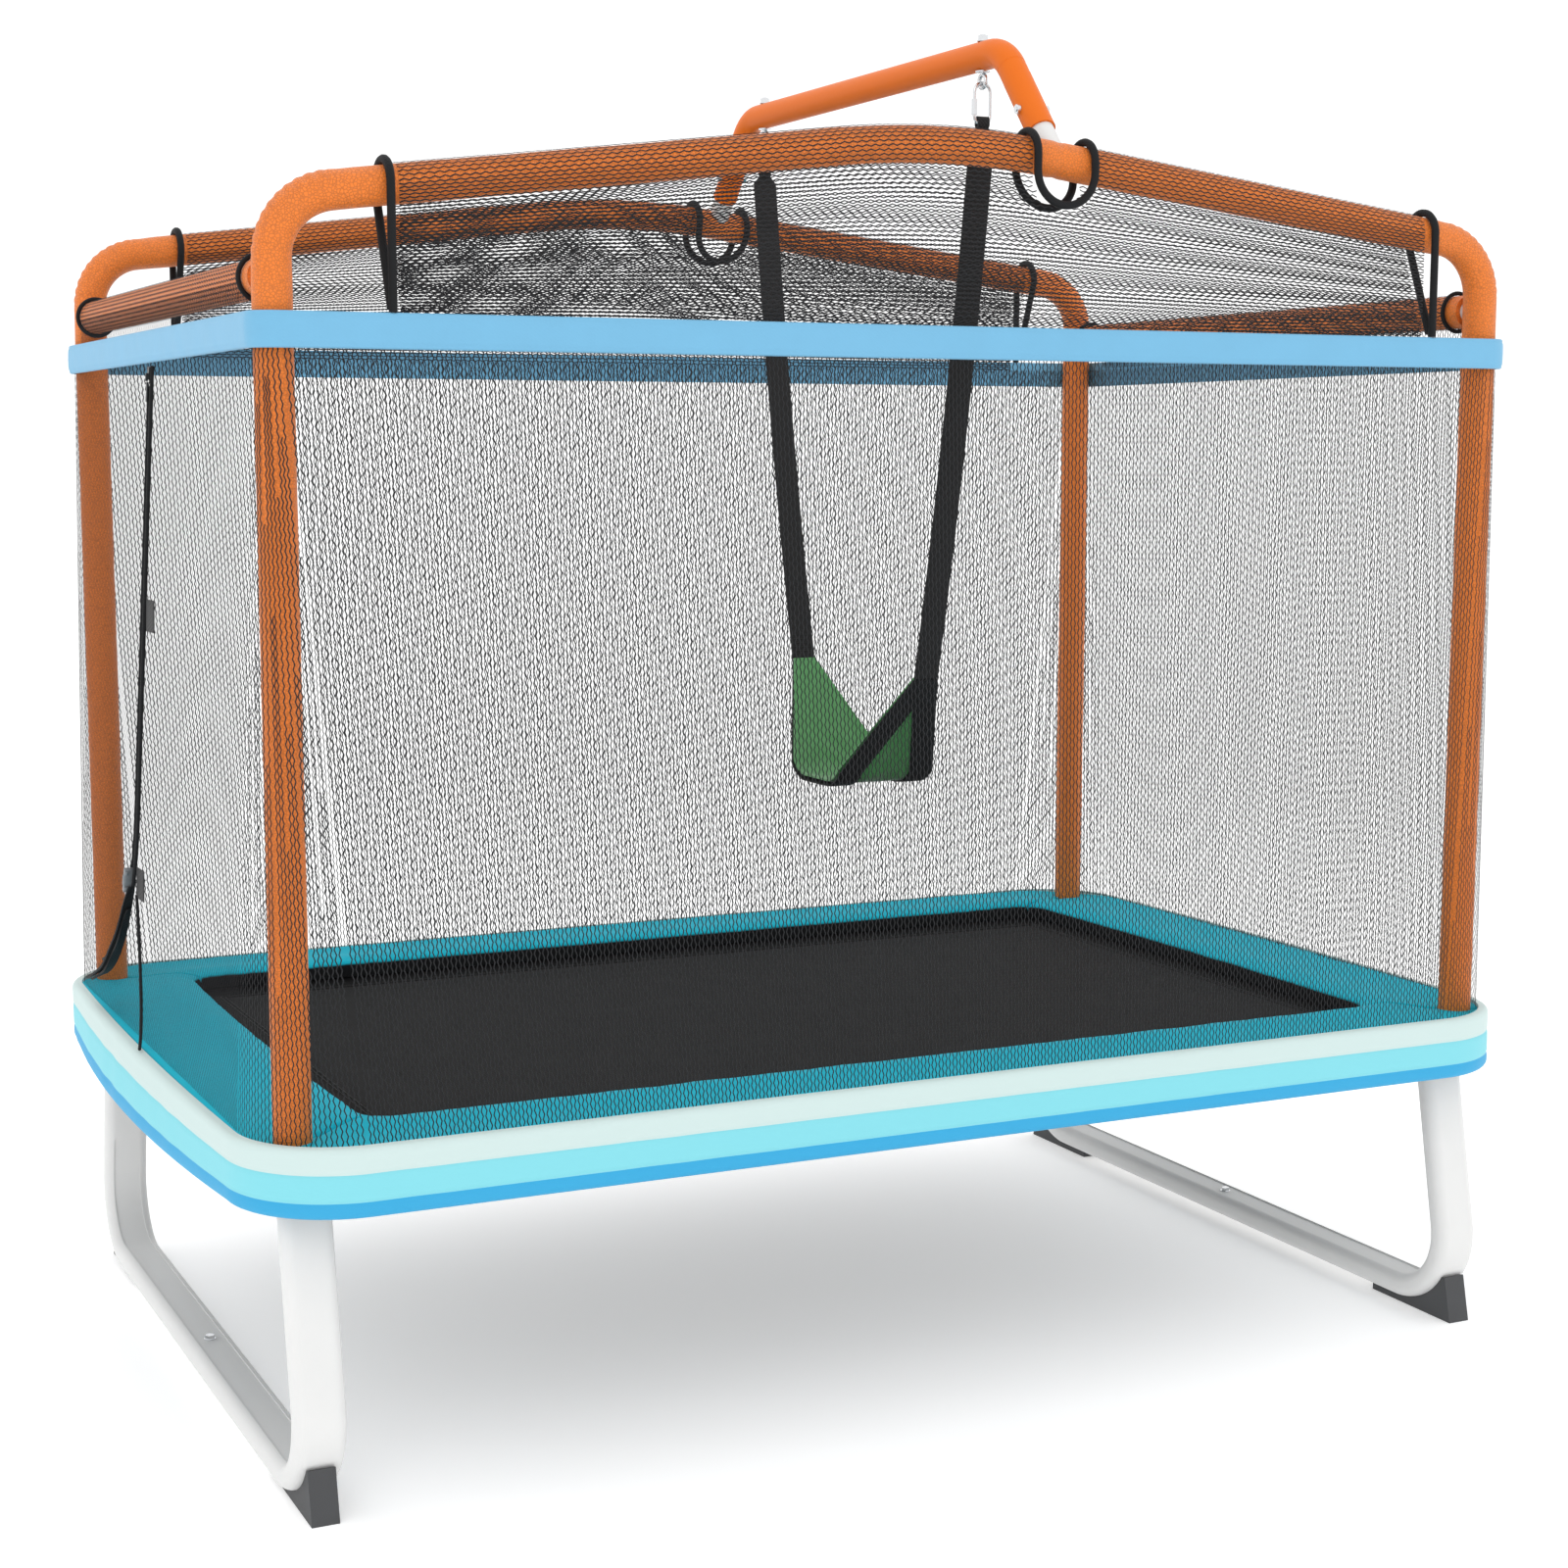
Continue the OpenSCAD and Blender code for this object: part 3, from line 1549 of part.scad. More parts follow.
module seat_webbing() {
    n = 36;
    color("#1B1B1B")
        for (side = [-1, 1])
            loft([for (i = [n:-1:0])
                let (s = -1 + 2 * i / n, w = seat_w(s), x0 = side * (w - web_w / 2))
                [for (k = [0:3])
                    let (x = x0 + (k == 0 || k == 3 ? -1 : 1) * web_w / 2,
                         p = seat_pt(s, web_off + (k < 2 ? 1 : -1) * web_t / 2))
                    [swing_x + x, p[0], p[1]]]]);
}

frame_rails();
frame_corners();
leg_left_front();
leg_left_back();
leg_right_front();
leg_right_back();
leg_joiners();
leg_bolts();
feet();
posts();
top_rails();
cross_rails();
post_foam_left_front();
post_foam_left_back();
post_foam_right_front();
post_foam_right_back();
rail_foam_left_front();
rail_foam_left_back();
rail_foam_right_front();
rail_foam_right_back();
cross_foam();
swing_tee_front();
swing_tee_back();
swing_upright_front();
swing_upright_back();
swing_bar();
swing_bolts();
eye_bolts();
mat();
mat_rings();
springs();
pad_front();
pad_back();
pad_left();
pad_right();
skirt_front();
skirt_back();
skirt_left();
skirt_right();
net_front();
net_back();
net_right();
net_left();
net_corners();
net_sleeve_front();
net_sleeve_back();
cross_sleeves();
net_band();
sleeve_bindings();
notch_bindings();
cross_bindings();
door_panel();
door_tape();
zip_tape();
zip_slider();
door_straps();
quick_links();
seat_straps();
seat_sling();
seat_webbing();
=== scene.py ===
"""Dresses the packed rectangular trampoline: foam sleeves, pads and skirt, mat and springs,
knitted enclosure with its zip door, swing, and the finishes of the metal parts."""
import math

import bmesh
import bpy
import numpy as np
from mathutils import Matrix, Vector


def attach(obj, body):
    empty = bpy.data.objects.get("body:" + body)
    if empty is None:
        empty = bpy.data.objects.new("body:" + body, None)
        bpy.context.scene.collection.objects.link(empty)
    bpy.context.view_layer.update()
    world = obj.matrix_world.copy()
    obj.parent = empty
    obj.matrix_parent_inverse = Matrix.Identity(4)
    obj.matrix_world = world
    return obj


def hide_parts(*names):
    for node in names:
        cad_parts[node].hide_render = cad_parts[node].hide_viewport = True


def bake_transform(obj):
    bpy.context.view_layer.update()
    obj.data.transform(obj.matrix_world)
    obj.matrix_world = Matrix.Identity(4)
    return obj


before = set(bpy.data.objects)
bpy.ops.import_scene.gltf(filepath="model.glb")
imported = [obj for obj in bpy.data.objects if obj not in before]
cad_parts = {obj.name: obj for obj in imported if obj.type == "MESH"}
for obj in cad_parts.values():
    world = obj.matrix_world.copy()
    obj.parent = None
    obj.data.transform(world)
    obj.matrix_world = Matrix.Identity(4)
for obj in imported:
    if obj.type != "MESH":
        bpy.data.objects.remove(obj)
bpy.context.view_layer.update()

bl_info = {
    "name": "Trampoline dressing",
    "version": (1, 0, 0),
    "blender": (4, 5, 0),
    "location": "3D View > Sidebar > Trampoline",
    "description": "Foam, pads, mat, net, door, swing and finishes of a rectangular trampoline",
    "category": "Object",
}

MM = 0.001
SIDES = ((-1, "left"), (1, "right"))
ENDS = ((-1, "front"), (1, "back"))

# The object's sizes, in millimetres, as the solids have them: posts, rails and foam
POST_X, POST_Y = 850.0, 520.0
FOAM_R, FOAM_BORE, FOAM_FOOT = 23.0, 16.3, 446.5
JOINT_Z, BEND_Z, ELBOW_R, RAIL_GAP = 1376.0, 1452.0, 78.0, 0.15
SLOPE, CROWN_R = math.radians(7), 1230.0
CROSS_Z, CROSS_BORE = 1434.0, 14.3
GAP = 0.3
# Mat and springs
MAT_X, MAT_Y, MAT_R, MAT_Z = 782.68, 481.31, 20.0, 426.0
SPRINGS_LONG, SPRINGS_SHORT = 14, 9
SPRING_GAP, HOOK_REACH, COIL_WIDTH = 62.0, 65.1, 12.0
# Spring pads: opening, outer edge and thickness, the bow of the short sides' edges, and how deep
# a pad dips, how much of that it rises again outside, and its sinking at posts and on the mat
OPEN_X, OPEN_Y, OPEN_R = 742.68, 464.31, 35.0
PAD_OUT_X, PAD_OUT_Y, PAD_OUT_R = 903.68, 587.71, 125.7
PAD_Z, PAD_T, PAD_CROWN = 433.3, 23.0, 4.0
PAD_BOW_IN, PAD_BOW_OUT = 10.0, 7.0
PAD_DIP, PAD_CURL, POST_DIP, PAD_DROOP = 7.5, 4.2, 5.5, 4.6
# Skirt, with its sewn seams and its rolled edges
SKIRT_X, SKIRT_Y, SKIRT_R, SKIRT_T = 917.98, 602.01, 140.0, 14.0
SKIRT_Z, SKIRT_TOP, STRIPE_SEAMS = 370.0, 458.3, (390.0, 423.0)
SKIRT_CX, SKIRT_CY = SKIRT_X - SKIRT_R, SKIRT_Y - SKIRT_R
FOOT_ROLL, BRIM_ROLL, BRIM_DROP, SEAM_DEPTH = 9.0, 8.0, 4.5, 1.6
# Enclosure: net, how far it is tucked in at its foot and top, band, sleeves and bindings
NET_T, NET_FOOT_X, NET_FOOT_Y, NET_FOOT_R = 1.2, 900.98, 585.01, 123.0
NET_Z0, NET_OFF, NET_TUCK, BAND_TUCK = 457.4, 24.5, 5.0, 12.0
BAND_Z, BAND_H, BAND_T, BAND_OFF = 1354.0, 41.0, 7.0, 26.57
BAND_TOP, BAND_MID = BAND_Z + BAND_H, BAND_Z + BAND_H / 2
SLEEVE_LEFT, SLEEVE_RIGHT, SLEEVE_R = -709.0, 734.0, 23.72
SLEEVE_FOOT_Y, SLEEVE_ENDS = 543.0, (-720.0, 745.0)
NOTCH_HALF, NOTCH_DEPTH = 47.5, 64.0
BINDING_R, WRAP_R = 5.2, 28.8
CROSS_RING_Y, CROSS_RING_R = 474.7, 26.3
# Zip and door
ZIP_TOP, ZIP_Y, ZIP_LEAN = 1350.0, -17.0, math.radians(9)
ZIP_STRAIGHT, ZIP_R, ZIP_TURN = 600.0, 300.0, math.radians(78)
TAPE_W, DOOR_DROP, PULL_D, CLIP_D = 9.0, 24.0, 34.0, 698.0
PATCH_DROPS, PATCH_W, PATCH_H = (322.0, 686.0), 46.0, 42.0
TAIL_FOOT = (-921.0, -18.0, 458.0)
# Swing
SWING_X, EYE_Y, STUB_LEAN, STUB_HOLE_R = 160.0, 336.0, math.radians(40.5), 16.2
LINK_Z0, STRAP_Z1, LOOP_R, LOOP_HALF = 1670.3, 1655.3, 4.1, 8.5
SEAT_TOP, SEAT_Z, SEAT_END_Y = 920.0, 755.0, 193.0
SEAT_HALF_Y, SEAT_HALF_X, SEAT_T = 60.0, 77.0, 3.0
WEB_W, WEB_T, SEAT_FILLET = 38.0, 2.4, 55.0

ELBOW_CX = POST_X - ELBOW_R
SLOPE_X = ELBOW_CX + ELBOW_R * math.sin(SLOPE)
SLOPE_Z = BEND_Z + ELBOW_R * math.cos(SLOPE)
CROWN_X = CROWN_R * math.sin(SLOPE)
CROWN_Z = SLOPE_Z + (SLOPE_X - CROWN_X) * math.tan(SLOPE)
CROWN_CZ = CROWN_Z - CROWN_R * math.cos(SLOPE)
TEE_Z = CROWN_Z - (SWING_X - CROWN_X) * math.tan(SLOPE)
NET_H = BAND_TOP - NET_Z0
TILT_X = math.atan((NET_FOOT_X - POST_X - NET_OFF) / NET_H)
TILT_Y = math.atan((NET_FOOT_Y - POST_Y - NET_OFF) / NET_H)
LEFT_OUT = np.array([-math.cos(TILT_X), 0, math.sin(TILT_X)])
ZIP_V0 = (ZIP_TOP - NET_Z0) / math.cos(TILT_X)
ZIP_LEN = ZIP_STRAIGHT + ZIP_R * ZIP_TURN
ZIP_END = ZIP_LEN - 50


# ---------- properties ----------

def hex_colour(text):
    """An sRGB hex value as linear red, green and blue, with alpha 1."""
    parts = [int(text[i:i + 2], 16) / 255 for i in (1, 3, 5)]
    return tuple(c / 12.92 if c <= 0.04045 else ((c + 0.055) / 1.055) ** 2.4
                 for c in parts) + (1.0,)


def colour_property(name, text, description):
    return bpy.props.FloatVectorProperty(
        name=name, description=description, default=hex_colour(text),
        subtype="COLOR", size=4, min=0, max=1)


def length_property(name, value, description):
    """A length in millimetres."""
    return bpy.props.FloatProperty(name=name, description=description, default=value, min=0)


class TRAMPOLINE_PG_foam(bpy.types.PropertyGroup):
    """Foam sleeves on the posts and rails"""
    skin: colour_property("Skin", "#E87A1E", "Colour of the foam sleeves' vinyl skin")
    crease: length_property("Crease", 1.3, "Depth of the creases inside the elbows, mm")
    grain: length_property("Grain", 3.8, "Size of the skin's crackle, mm")


class TRAMPOLINE_PG_rim(bpy.types.PropertyGroup):
    """Spring pads and skirt"""
    pad: colour_property("Pads", "#06B0C8", "Colour of the spring pads")
    # The dark colour is the black cloth underneath, and on the pads' inner edge it is painted shade of
    # the gap under the pad
    under: colour_property("Underside", "#121416", "Colour of the pads' inner edge and underside")
    stripe_top: colour_property("Upper stripe", "#C4D7D5", "Colour of the skirt's upper stripe")
    stripe_mid: colour_property("Middle stripe", "#7ECFDA", "Colour of the skirt's middle stripe")
    stripe_low: colour_property("Lower stripe", "#2FA0D0", "Colour of the skirt's lower stripe")
    wrinkle: length_property("Wrinkles", 0.8, "Depth of the gathers along the pads' seams, mm")
    bow: length_property("Bow", 27.0, "How far the foot of the skirt's short sides stands out, mm")


class TRAMPOLINE_PG_mat(bpy.types.PropertyGroup):
    """Jumping mat and springs"""
    cloth: colour_property("Cloth", "#1C1C1D", "Colour of the mat's woven cloth")
    edge: colour_property("Hem colour", "#0A0A0B", "Colour of the mat's doubled hem")
    hem: length_property("Hem", 77.0, "Width of the hem round the mat, mm")
    wire: length_property("Wire", 2.2, "Diameter of the springs' wire, mm")
    turns: bpy.props.IntProperty(name="Turns", description="Turns of each spring", default=13, min=4)


class TRAMPOLINE_PG_net(bpy.types.PropertyGroup):
    """Knitted enclosure"""
    yarn: colour_property("Yarn", "#202124", "Colour of the net's yarn")
    band: colour_property("Band", "#6CADD1", "Colour of the band round the enclosure's top")
    trim: colour_property("Trim", "#17181A", "Colour of the bindings and zip tapes")
    pitch: length_property("Pitch", 5.5, "Distance between the net's columns, mm")
    stitch: length_property("Stitch", 6.0, "Length of one swing of a column, mm")
    wave: length_property("Wave", 1.1, "How far a column swings to each side, mm")
    thread: length_property("Thread", 1.55, "Width of a column's flat yarn, mm")


class TRAMPOLINE_PG_swing(bpy.types.PropertyGroup):
    """Sling swing"""
    cloth: colour_property("Seat", "#3D8544", "Colour of the seat's cloth")
    webbing: colour_property("Webbing", "#1A1A1B", "Colour of the straps' webbing")
    sag: length_property("Sag", 4.0, "Depth of the folds in the seat, mm")


class TRAMPOLINE_PG_metal(bpy.types.PropertyGroup):
    """Finishes of the metal and rubber parts"""
    zinc: colour_property("Zinc", "#BFC3C7", "Colour of the galvanised tube")
    white: colour_property("White", "#DDDDDC", "Colour of the white powder coat")
    orange: colour_property("Orange", "#E06E1C", "Colour of the swing bar's powder coat")
    rubber: colour_property("Rubber", "#414244", "Colour of the feet")
    polish: colour_property("Plated", "#D9DBDD", "Colour of the plated bolts and links")


class TRAMPOLINE_PG_stage(bpy.types.PropertyGroup):
    """Floor, light and camera"""
    floor: colour_property("Floor", "#F6F6F6", "Colour of the floor")
    lens: bpy.props.FloatProperty(name="Lens", description="Focal length, mm", default=59.02, min=1)


# ---------- nodes and materials ----------

NOISE, CELLS, WEAVE = "ShaderNodeTexNoise", "ShaderNodeTexVoronoi", "weave"
LEVEL = ((1, 0, 0), (0, 1, 0))
UPRIGHT = ((0.7071, 0.7071, 0), (0, 0, 1))


def add_node(tree, kind, inputs=(), **settings):
    """Adds one node, sets what it is given, and links the inputs that are sockets."""
    made = tree.nodes.new(kind)
    for key, value in settings.items():
        setattr(made, key, value)
    for key, value in dict(inputs).items():
        if isinstance(value, bpy.types.NodeSocket):
            tree.links.new(value, made.inputs[key])
        else:
            made.inputs[key].default_value = value
    return made


def start_material(name, **shader):
    """A material with a Principled shader and coordinates in millimetres."""
    made = bpy.data.materials.new(name)
    made.use_nodes = True
    tree = made.node_tree
    tree.nodes.clear()
    surface = add_node(tree, "ShaderNodeBsdfPrincipled",
                       {key.replace("_", " "): value for key, value in shader.items()})
    add_node(tree, "ShaderNodeOutputMaterial", {"Surface": surface.outputs["BSDF"]})
    where = add_node(tree, "ShaderNodeTexCoord")
    place = add_node(tree, "ShaderNodeMapping",
                     {"Vector": where.outputs["Object"], "Scale": (1000, 1000, 1000)})
    return made, tree, surface, place.outputs["Vector"]


def shaded(colour, times):
    """A colour made darker or lighter."""
    return tuple(min(c * times, 1) for c in colour[:3]) + (1,)


def paint(tree, surface, mask, low, high):
    """Ties the base colour to a mask: one colour or socket where it is 0, another where 1."""
    mix = add_node(tree, "ShaderNodeMix", {0: mask, 6: low, 7: high}, data_type="RGBA")
    tree.links.new(mix.outputs[2], surface.inputs["Base Color"])
    return mix.outputs[2]


def vary(tree, surface, place, colour, dark, size, rough, spread):
    """Ties base colour and roughness to a soft noise of the given size in millimetres."""
    noise = add_node(tree, NOISE, {"Vector": place, "Scale": 1 / size, "Detail": 4.0,
                                   "Roughness": 0.6})
    span = add_node(tree, "ShaderNodeMapRange", {"Value": noise.outputs["Fac"],
                                                 "To Min": rough - spread,
                                                 "To Max": rough + spread})
    tree.links.new(span.outputs["Result"], surface.inputs["Roughness"])
    return paint(tree, surface, noise.outputs["Fac"], shaded(colour, dark),
                 shaded(colour, 2 - dark))


def woven(tree, place, warp, weft, thread):
    """Height of a plain weave whose threads run along two directions."""
    waves = []
    for axis in (warp, weft):
        turned = add_node(tree, "ShaderNodeVectorMath", {0: place, 1: axis},
                          operation="DOT_PRODUCT")
        phase = add_node(tree, "ShaderNodeMath",
                         {0: turned.outputs["Value"], 1: math.pi / thread}, operation="MULTIPLY")
        waves.append(add_node(tree, "ShaderNodeMath", {0: phase.outputs[0]}, operation="SINE"))
    product = add_node(tree, "ShaderNodeMath", {0: waves[0].outputs[0], 1: waves[1].outputs[0]},
                       operation="MULTIPLY")
    return product.outputs[0]


def reliefs(tree, surface, place, *layers):
    """Stacks reliefs on a surface, the finest one first. Each layer is a height field, its depth
    in millimetres and its strength; the field is a socket, or a kind of texture with its size
    in millimetres and its other inputs, or a weave with its thread and directions."""
    under = {}
    for field, depth, strength in layers:
        if isinstance(field, tuple):
            kind, size, more = field
            if kind == WEAVE:
                field = woven(tree, place, *more, size)
            else:
                field = add_node(tree, kind, {"Vector": place, "Scale": 1 / size, **more}).outputs[0]
        made = add_node(tree, "ShaderNodeBump",
                        {"Height": field, "Distance": depth * MM, "Strength": strength, **under})
        under = {"Normal": made.outputs["Normal"]}
    tree.links.new(made.outputs["Normal"], surface.inputs["Normal"])


def make_materials():
    """Every finish of the object, by the name that the pieces use."""
    scene = bpy.context.scene
    foam, rim, mat = scene.trampoline_foam, scene.trampoline_rim, scene.trampoline_mat
    net, swing, metal = scene.trampoline_net, scene.trampoline_swing, scene.trampoline_metal
    made = {}

    def finish(key, name, colour, soft, *layers, **shader):
        """Adds a finish: soft is how dark its colour's low end is, the size of its patches, its
        roughness and the roughness's spread."""
        made[key], tree, surface, place = start_material(name, **shader)
        tint = vary(tree, surface, place, colour, *soft)
        if layers:
            reliefs(tree, surface, place, *layers)
        return tree, surface, place, tint

    # Hot-dip galvanised steel tube: dull grey metal with faint zinc crystals
    finish("zinc_tube", "galvanised_steel_tube", metal.zinc, (0.9, 40, 0.42, 0.06),
           ((CELLS, 9, {}), 0.12, 0.25), Metallic=1.0)
    # Bright zinc-plated bolts, eyes and links: cleaner and glossier than the tube
    finish("plated", "zinc_plated_hardware", metal.polish, (0.93, 12, 0.26, 0.06),
           ((NOISE, 1.5, {}), 0.05, 0.3), Metallic=1.0)
    # Drawn spring wire: bright steel, a little uneven
    finish("spring", "plated_spring_wire", metal.polish, (0.88, 6, 0.3, 0.08), Metallic=1.0)
    # Polyester powder coats, white and orange: satin, with a slight orange peel
    for word in ("white", "orange"):
        finish(f"{word}_coat", f"{word}_powder_coat", getattr(metal, word), (0.97, 70, 0.4, 0.05),
               ((NOISE, 2.2, {"Detail": 1.0}), 0.12, 0.35), IOR=1.5, Specular_IOR_Level=0.12)
    # Moulded rubber feet: matt dark grey with a fine grain
    finish("rubber", "moulded_rubber", metal.rubber, (0.85, 25, 0.68, 0.08),
           ((NOISE, 1.2, {"Detail": 3.0}), 0.25, 0.4), IOR=1.5)
    # Dark zinc zip slider
    finish("slider", "black_zinc_slider", hex_colour("#3A3C3E"), (0.85, 4, 0.35, 0.08),
           Metallic=0.9)
    # Grey die-cast clip at the zip's foot: satin, a little worn
    finish("clip", "grey_die_cast_clip", hex_colour("#7E8285"), (0.8, 5, 0.45, 0.08),
           Metallic=0.6)
    # Black sewing thread of the visible seams
    finish("thread", "polyester_thread", hex_colour("#0F1011"), (0.8, 5, 0.6, 0.05), IOR=1.5)
    # Knitted polyester net yarn: matt and slightly hairy
    finish("net", "knitted_polyester_yarn", net.yarn, (0.75, 9, 0.85, 0.06),
           IOR=1.5, Sheen_Weight=0.05, Specular_IOR_Level=0.3)
    # Light blue polyester band: plain weave, drawn 2.2 mm wide to show
    finish("band", "plain_weave_polyester_blue", net.band, (0.95, 60, 0.62, 0.05),
           ((WEAVE, 2.2, UPRIGHT), 0.15, 0.4), ((NOISE, 26, {"Detail": 3.0}), 1.4, 0.4),
           IOR=1.5, Sheen_Weight=0.15)
    # Black polyester binding tape: a soft sheen over fine cross ribs
    finish("trim", "ribbed_binding_tape", net.trim, (0.7, 14, 0.7, 0.08),
           ((WEAVE, 2.2, ((0.6, 0.6, 0.53), (0.6, -0.6, 0.53))), 0.3, 0.6),
           IOR=1.5, Sheen_Weight=0.02, Specular_IOR_Level=0.2)
    # Polyester webbing: heavy warp ribs across a close weave, with a low sheen
    finish("webbing", "polyester_webbing", swing.webbing, (0.7, 20, 0.62, 0.08),
           ((WEAVE, 2.6, ((1, 0, 0), (0, 0.35, 0.94))), 0.4, 0.6),
           IOR=1.5, Sheen_Weight=0.05, Specular_IOR_Level=0.25)
    # Nylon seat cloth: packcloth weave with a soft sheen where it folds
    finish("seat", "nylon_packcloth_green", swing.cloth, (0.88, 40, 0.56, 0.08),
           ((WEAVE, 2.0, ((1, 0, 0), (0, 0.7071, 0.7071))), 0.2, 0.4),
           ((NOISE, 22, {"Detail": 4.0, "Distortion": 0.6}), 3.0, 0.45),
           IOR=1.53, Sheen_Weight=0.3)

    # Closed-cell foam sleeve with a thin vinyl skin: a crackle of fine folds, with painted shade
    # darkening the fold lines
    tree, surface, place, tint = finish("foam", "crackled_vinyl_skin", foam.skin,
                                        (0.93, 28, 0.5, 0.08), IOR=1.5, Sheen_Weight=0.08)
    cells = add_node(tree, CELLS, {"Vector": place, "Scale": 1 / foam.grain},
                     feature="DISTANCE_TO_EDGE")
    edge = add_node(tree, "ShaderNodeMapRange",
                    {"Value": cells.outputs["Distance"], "From Min": 0.0, "From Max": 0.16})
    crackle = edge.outputs["Result"]
    # The crackle's fold lines are painted darker: painted shade in the folds
    paint(tree, surface, crackle, shaded(foam.skin, 0.66), tint)
    reliefs(tree, surface, place, (crackle, 0.5, 0.8), ((NOISE, 14, {"Detail": 5.0}), 1.2, 0.5))

    # Woven polypropylene mat: black slit-film tapes, a little glossy, threads drawn 3 mm wide
    # to show at this distance, and a darker hem
    tree, surface, place, tint = finish("mat", "woven_polypropylene", mat.cloth,
                                        (0.86, 60, 0.74, 0.07), ((WEAVE, 3.0, LEVEL), 0.35, 0.5),
                                        IOR=1.49, Specular_IOR_Level=0.1)
    part = add_node(tree, "ShaderNodeSeparateXYZ", {"Vector": place})
    over = []
    for axis, half in (("X", MAT_X), ("Y", MAT_Y)):
        size = add_node(tree, "ShaderNodeMath", {0: part.outputs[axis]}, operation="ABSOLUTE")
        over.append(add_node(tree, "ShaderNodeMath", {0: size.outputs[0], 1: half - mat.hem},
                             operation="GREATER_THAN").outputs[0])
    either = add_node(tree, "ShaderNodeMath", {0: over[0], 1: over[1]}, operation="MAXIMUM")
    paint(tree, surface, either.outputs[0], tint, mat.edge)

    # PVC-coated polyester of the spring pads over a faint scrim, and black cloth underneath; the dark
    # colour on the inner edge's face is painted shade of the gap under the pad
    tree, surface, _, tint = finish("pad", "pvc_coated_cloth_teal", rim.pad,
                                        (0.95, 90, 0.66, 0.06), ((WEAVE, 2.4, LEVEL), 0.1, 0.4),
                                        ((NOISE, 35, {"Detail": 3.0}), 1.6, 0.35),
                                        IOR=1.5, Specular_IOR_Level=0.14)
    # Inner edge and underside in the dark colour: black cloth underneath, painted shade on the inner
    # edge
    below = add_node(tree, "ShaderNodeAttribute", attribute_name="underside")
    paint(tree, surface, below.outputs["Fac"], tint, rim.under)

    # The same coated cloth in three sewn stripes, parted by their heights
    tree, surface, place, _ = finish("skirt", "pvc_coated_cloth_striped", rim.stripe_top,
                                        (0.97, 90, 0.55, 0.05),
                                        ((NOISE, 30, {"Detail": 3.0}), 1.5, 0.35),
                                        ((WEAVE, 2.4, UPRIGHT), 0.1, 0.3),
                                        IOR=1.5, Specular_IOR_Level=0.35)
    part = add_node(tree, "ShaderNodeSeparateXYZ", {"Vector": place})
    colour = rim.stripe_low
    for seam, above in zip(STRIPE_SEAMS, (rim.stripe_mid, rim.stripe_top)):
        step = add_node(tree, "ShaderNodeMath", {0: part.outputs["Z"], 1: seam},
                        operation="GREATER_THAN")
        colour = paint(tree, surface, step.outputs[0], colour, above)
    return made


MATERIALS = {}


def material(key):
    if not MATERIALS:
        MATERIALS.update(make_materials())
    return MATERIALS[key]


# ---------- meshes ----------

def spots(*parts):
    """Points from their coordinates, which are arrays or numbers."""
    return np.stack(np.broadcast_arrays(*parts), -1)


def coords(points):
    """The coordinates of an array of points, one array each."""
    return np.moveaxis(points, -1, 0)


def run_length(points):
    """Distance along a line of points from its first."""
    return np.concatenate([[0], np.cumsum(np.linalg.norm(np.diff(points, axis=0), axis=1))])


def headings(points):
    """Unit directions along a line of points."""
    run = np.gradient(points, axis=0)
    return run / np.linalg.norm(run, axis=1, keepdims=True)


def mirrored(points, sx=1, sy=1):
    return points * np.array([sx, sy, 1.0])


def make_mesh(name, points, quads=(), tris=()):
    """An object from points in millimetres and index arrays, its place in its mesh."""
    mesh = bpy.data.meshes.new(name)
    points = np.asarray(points, float).reshape(-1, 3) * MM
    quads = np.asarray(quads, int).reshape(-1, 4)
    tris = np.asarray(tris, int).reshape(-1, 3)
    corners = np.concatenate([quads.ravel(), tris.ravel()])
    starts = np.concatenate([np.arange(len(quads)) * 4,
                             len(quads) * 4 + np.arange(len(tris)) * 3])
    mesh.vertices.add(len(points))
    mesh.vertices.foreach_set("co", points.ravel())
    mesh.loops.add(len(corners))
    mesh.loops.foreach_set("vertex_index", corners)
    mesh.polygons.add(len(starts))
    mesh.polygons.foreach_set("loop_start", starts)
    mesh.update(calc_edges=True)
    made = bpy.data.objects.new(name, mesh)
    bpy.context.scene.collection.objects.link(made)
    return made


def outward(obj, merge=None, caps=()):
    """Merges points nearer than merge, adds a face through each list of points, and turns the
    faces of the closed mesh outwards."""
    work = bmesh.new()
    work.from_mesh(obj.data)
    if merge:
        bmesh.ops.remove_doubles(work, verts=work.verts, dist=merge * MM)
    work.verts.ensure_lookup_table()
    for cap in caps:
        work.faces.new([work.verts[j] for j in cap])
    bmesh.ops.recalc_face_normals(work, faces=work.faces)
    work.to_mesh(obj.data)
    work.free()


def only(obj):
    """Selects one object alone and makes it active."""
    bpy.ops.object.select_all(action="DESELECT")
    obj.select_set(True)
    bpy.context.view_layer.objects.active = obj


def smooth(obj, angle=None):
    """Shades an object smooth, all over or up to an angle in degrees."""
    only(obj)
    if angle is None:
        bpy.ops.object.shade_smooth()
    else:
        bpy.ops.object.shade_smooth_by_angle(angle=math.radians(angle))


def solid(name, points, quads, angle=None, caps=()):
    """A closed mesh with its faces outwards, shaded smooth."""
    made = make_mesh(name, points, quads)
    outward(made, caps=caps)
    smooth(made, angle)
    return made


def join(objects, name, angle=None):
    """Joins like pieces into one mesh, and shades it smooth up to an angle if one is given."""
    only(objects[0])
    for obj in objects[1:]:
        obj.select_set(True)
    if len(objects) > 1:
        bpy.ops.object.join()
    made = bpy.context.view_layer.objects.active
    made.name = made.data.name = name
    if angle:
        smooth(made, angle)
    return made


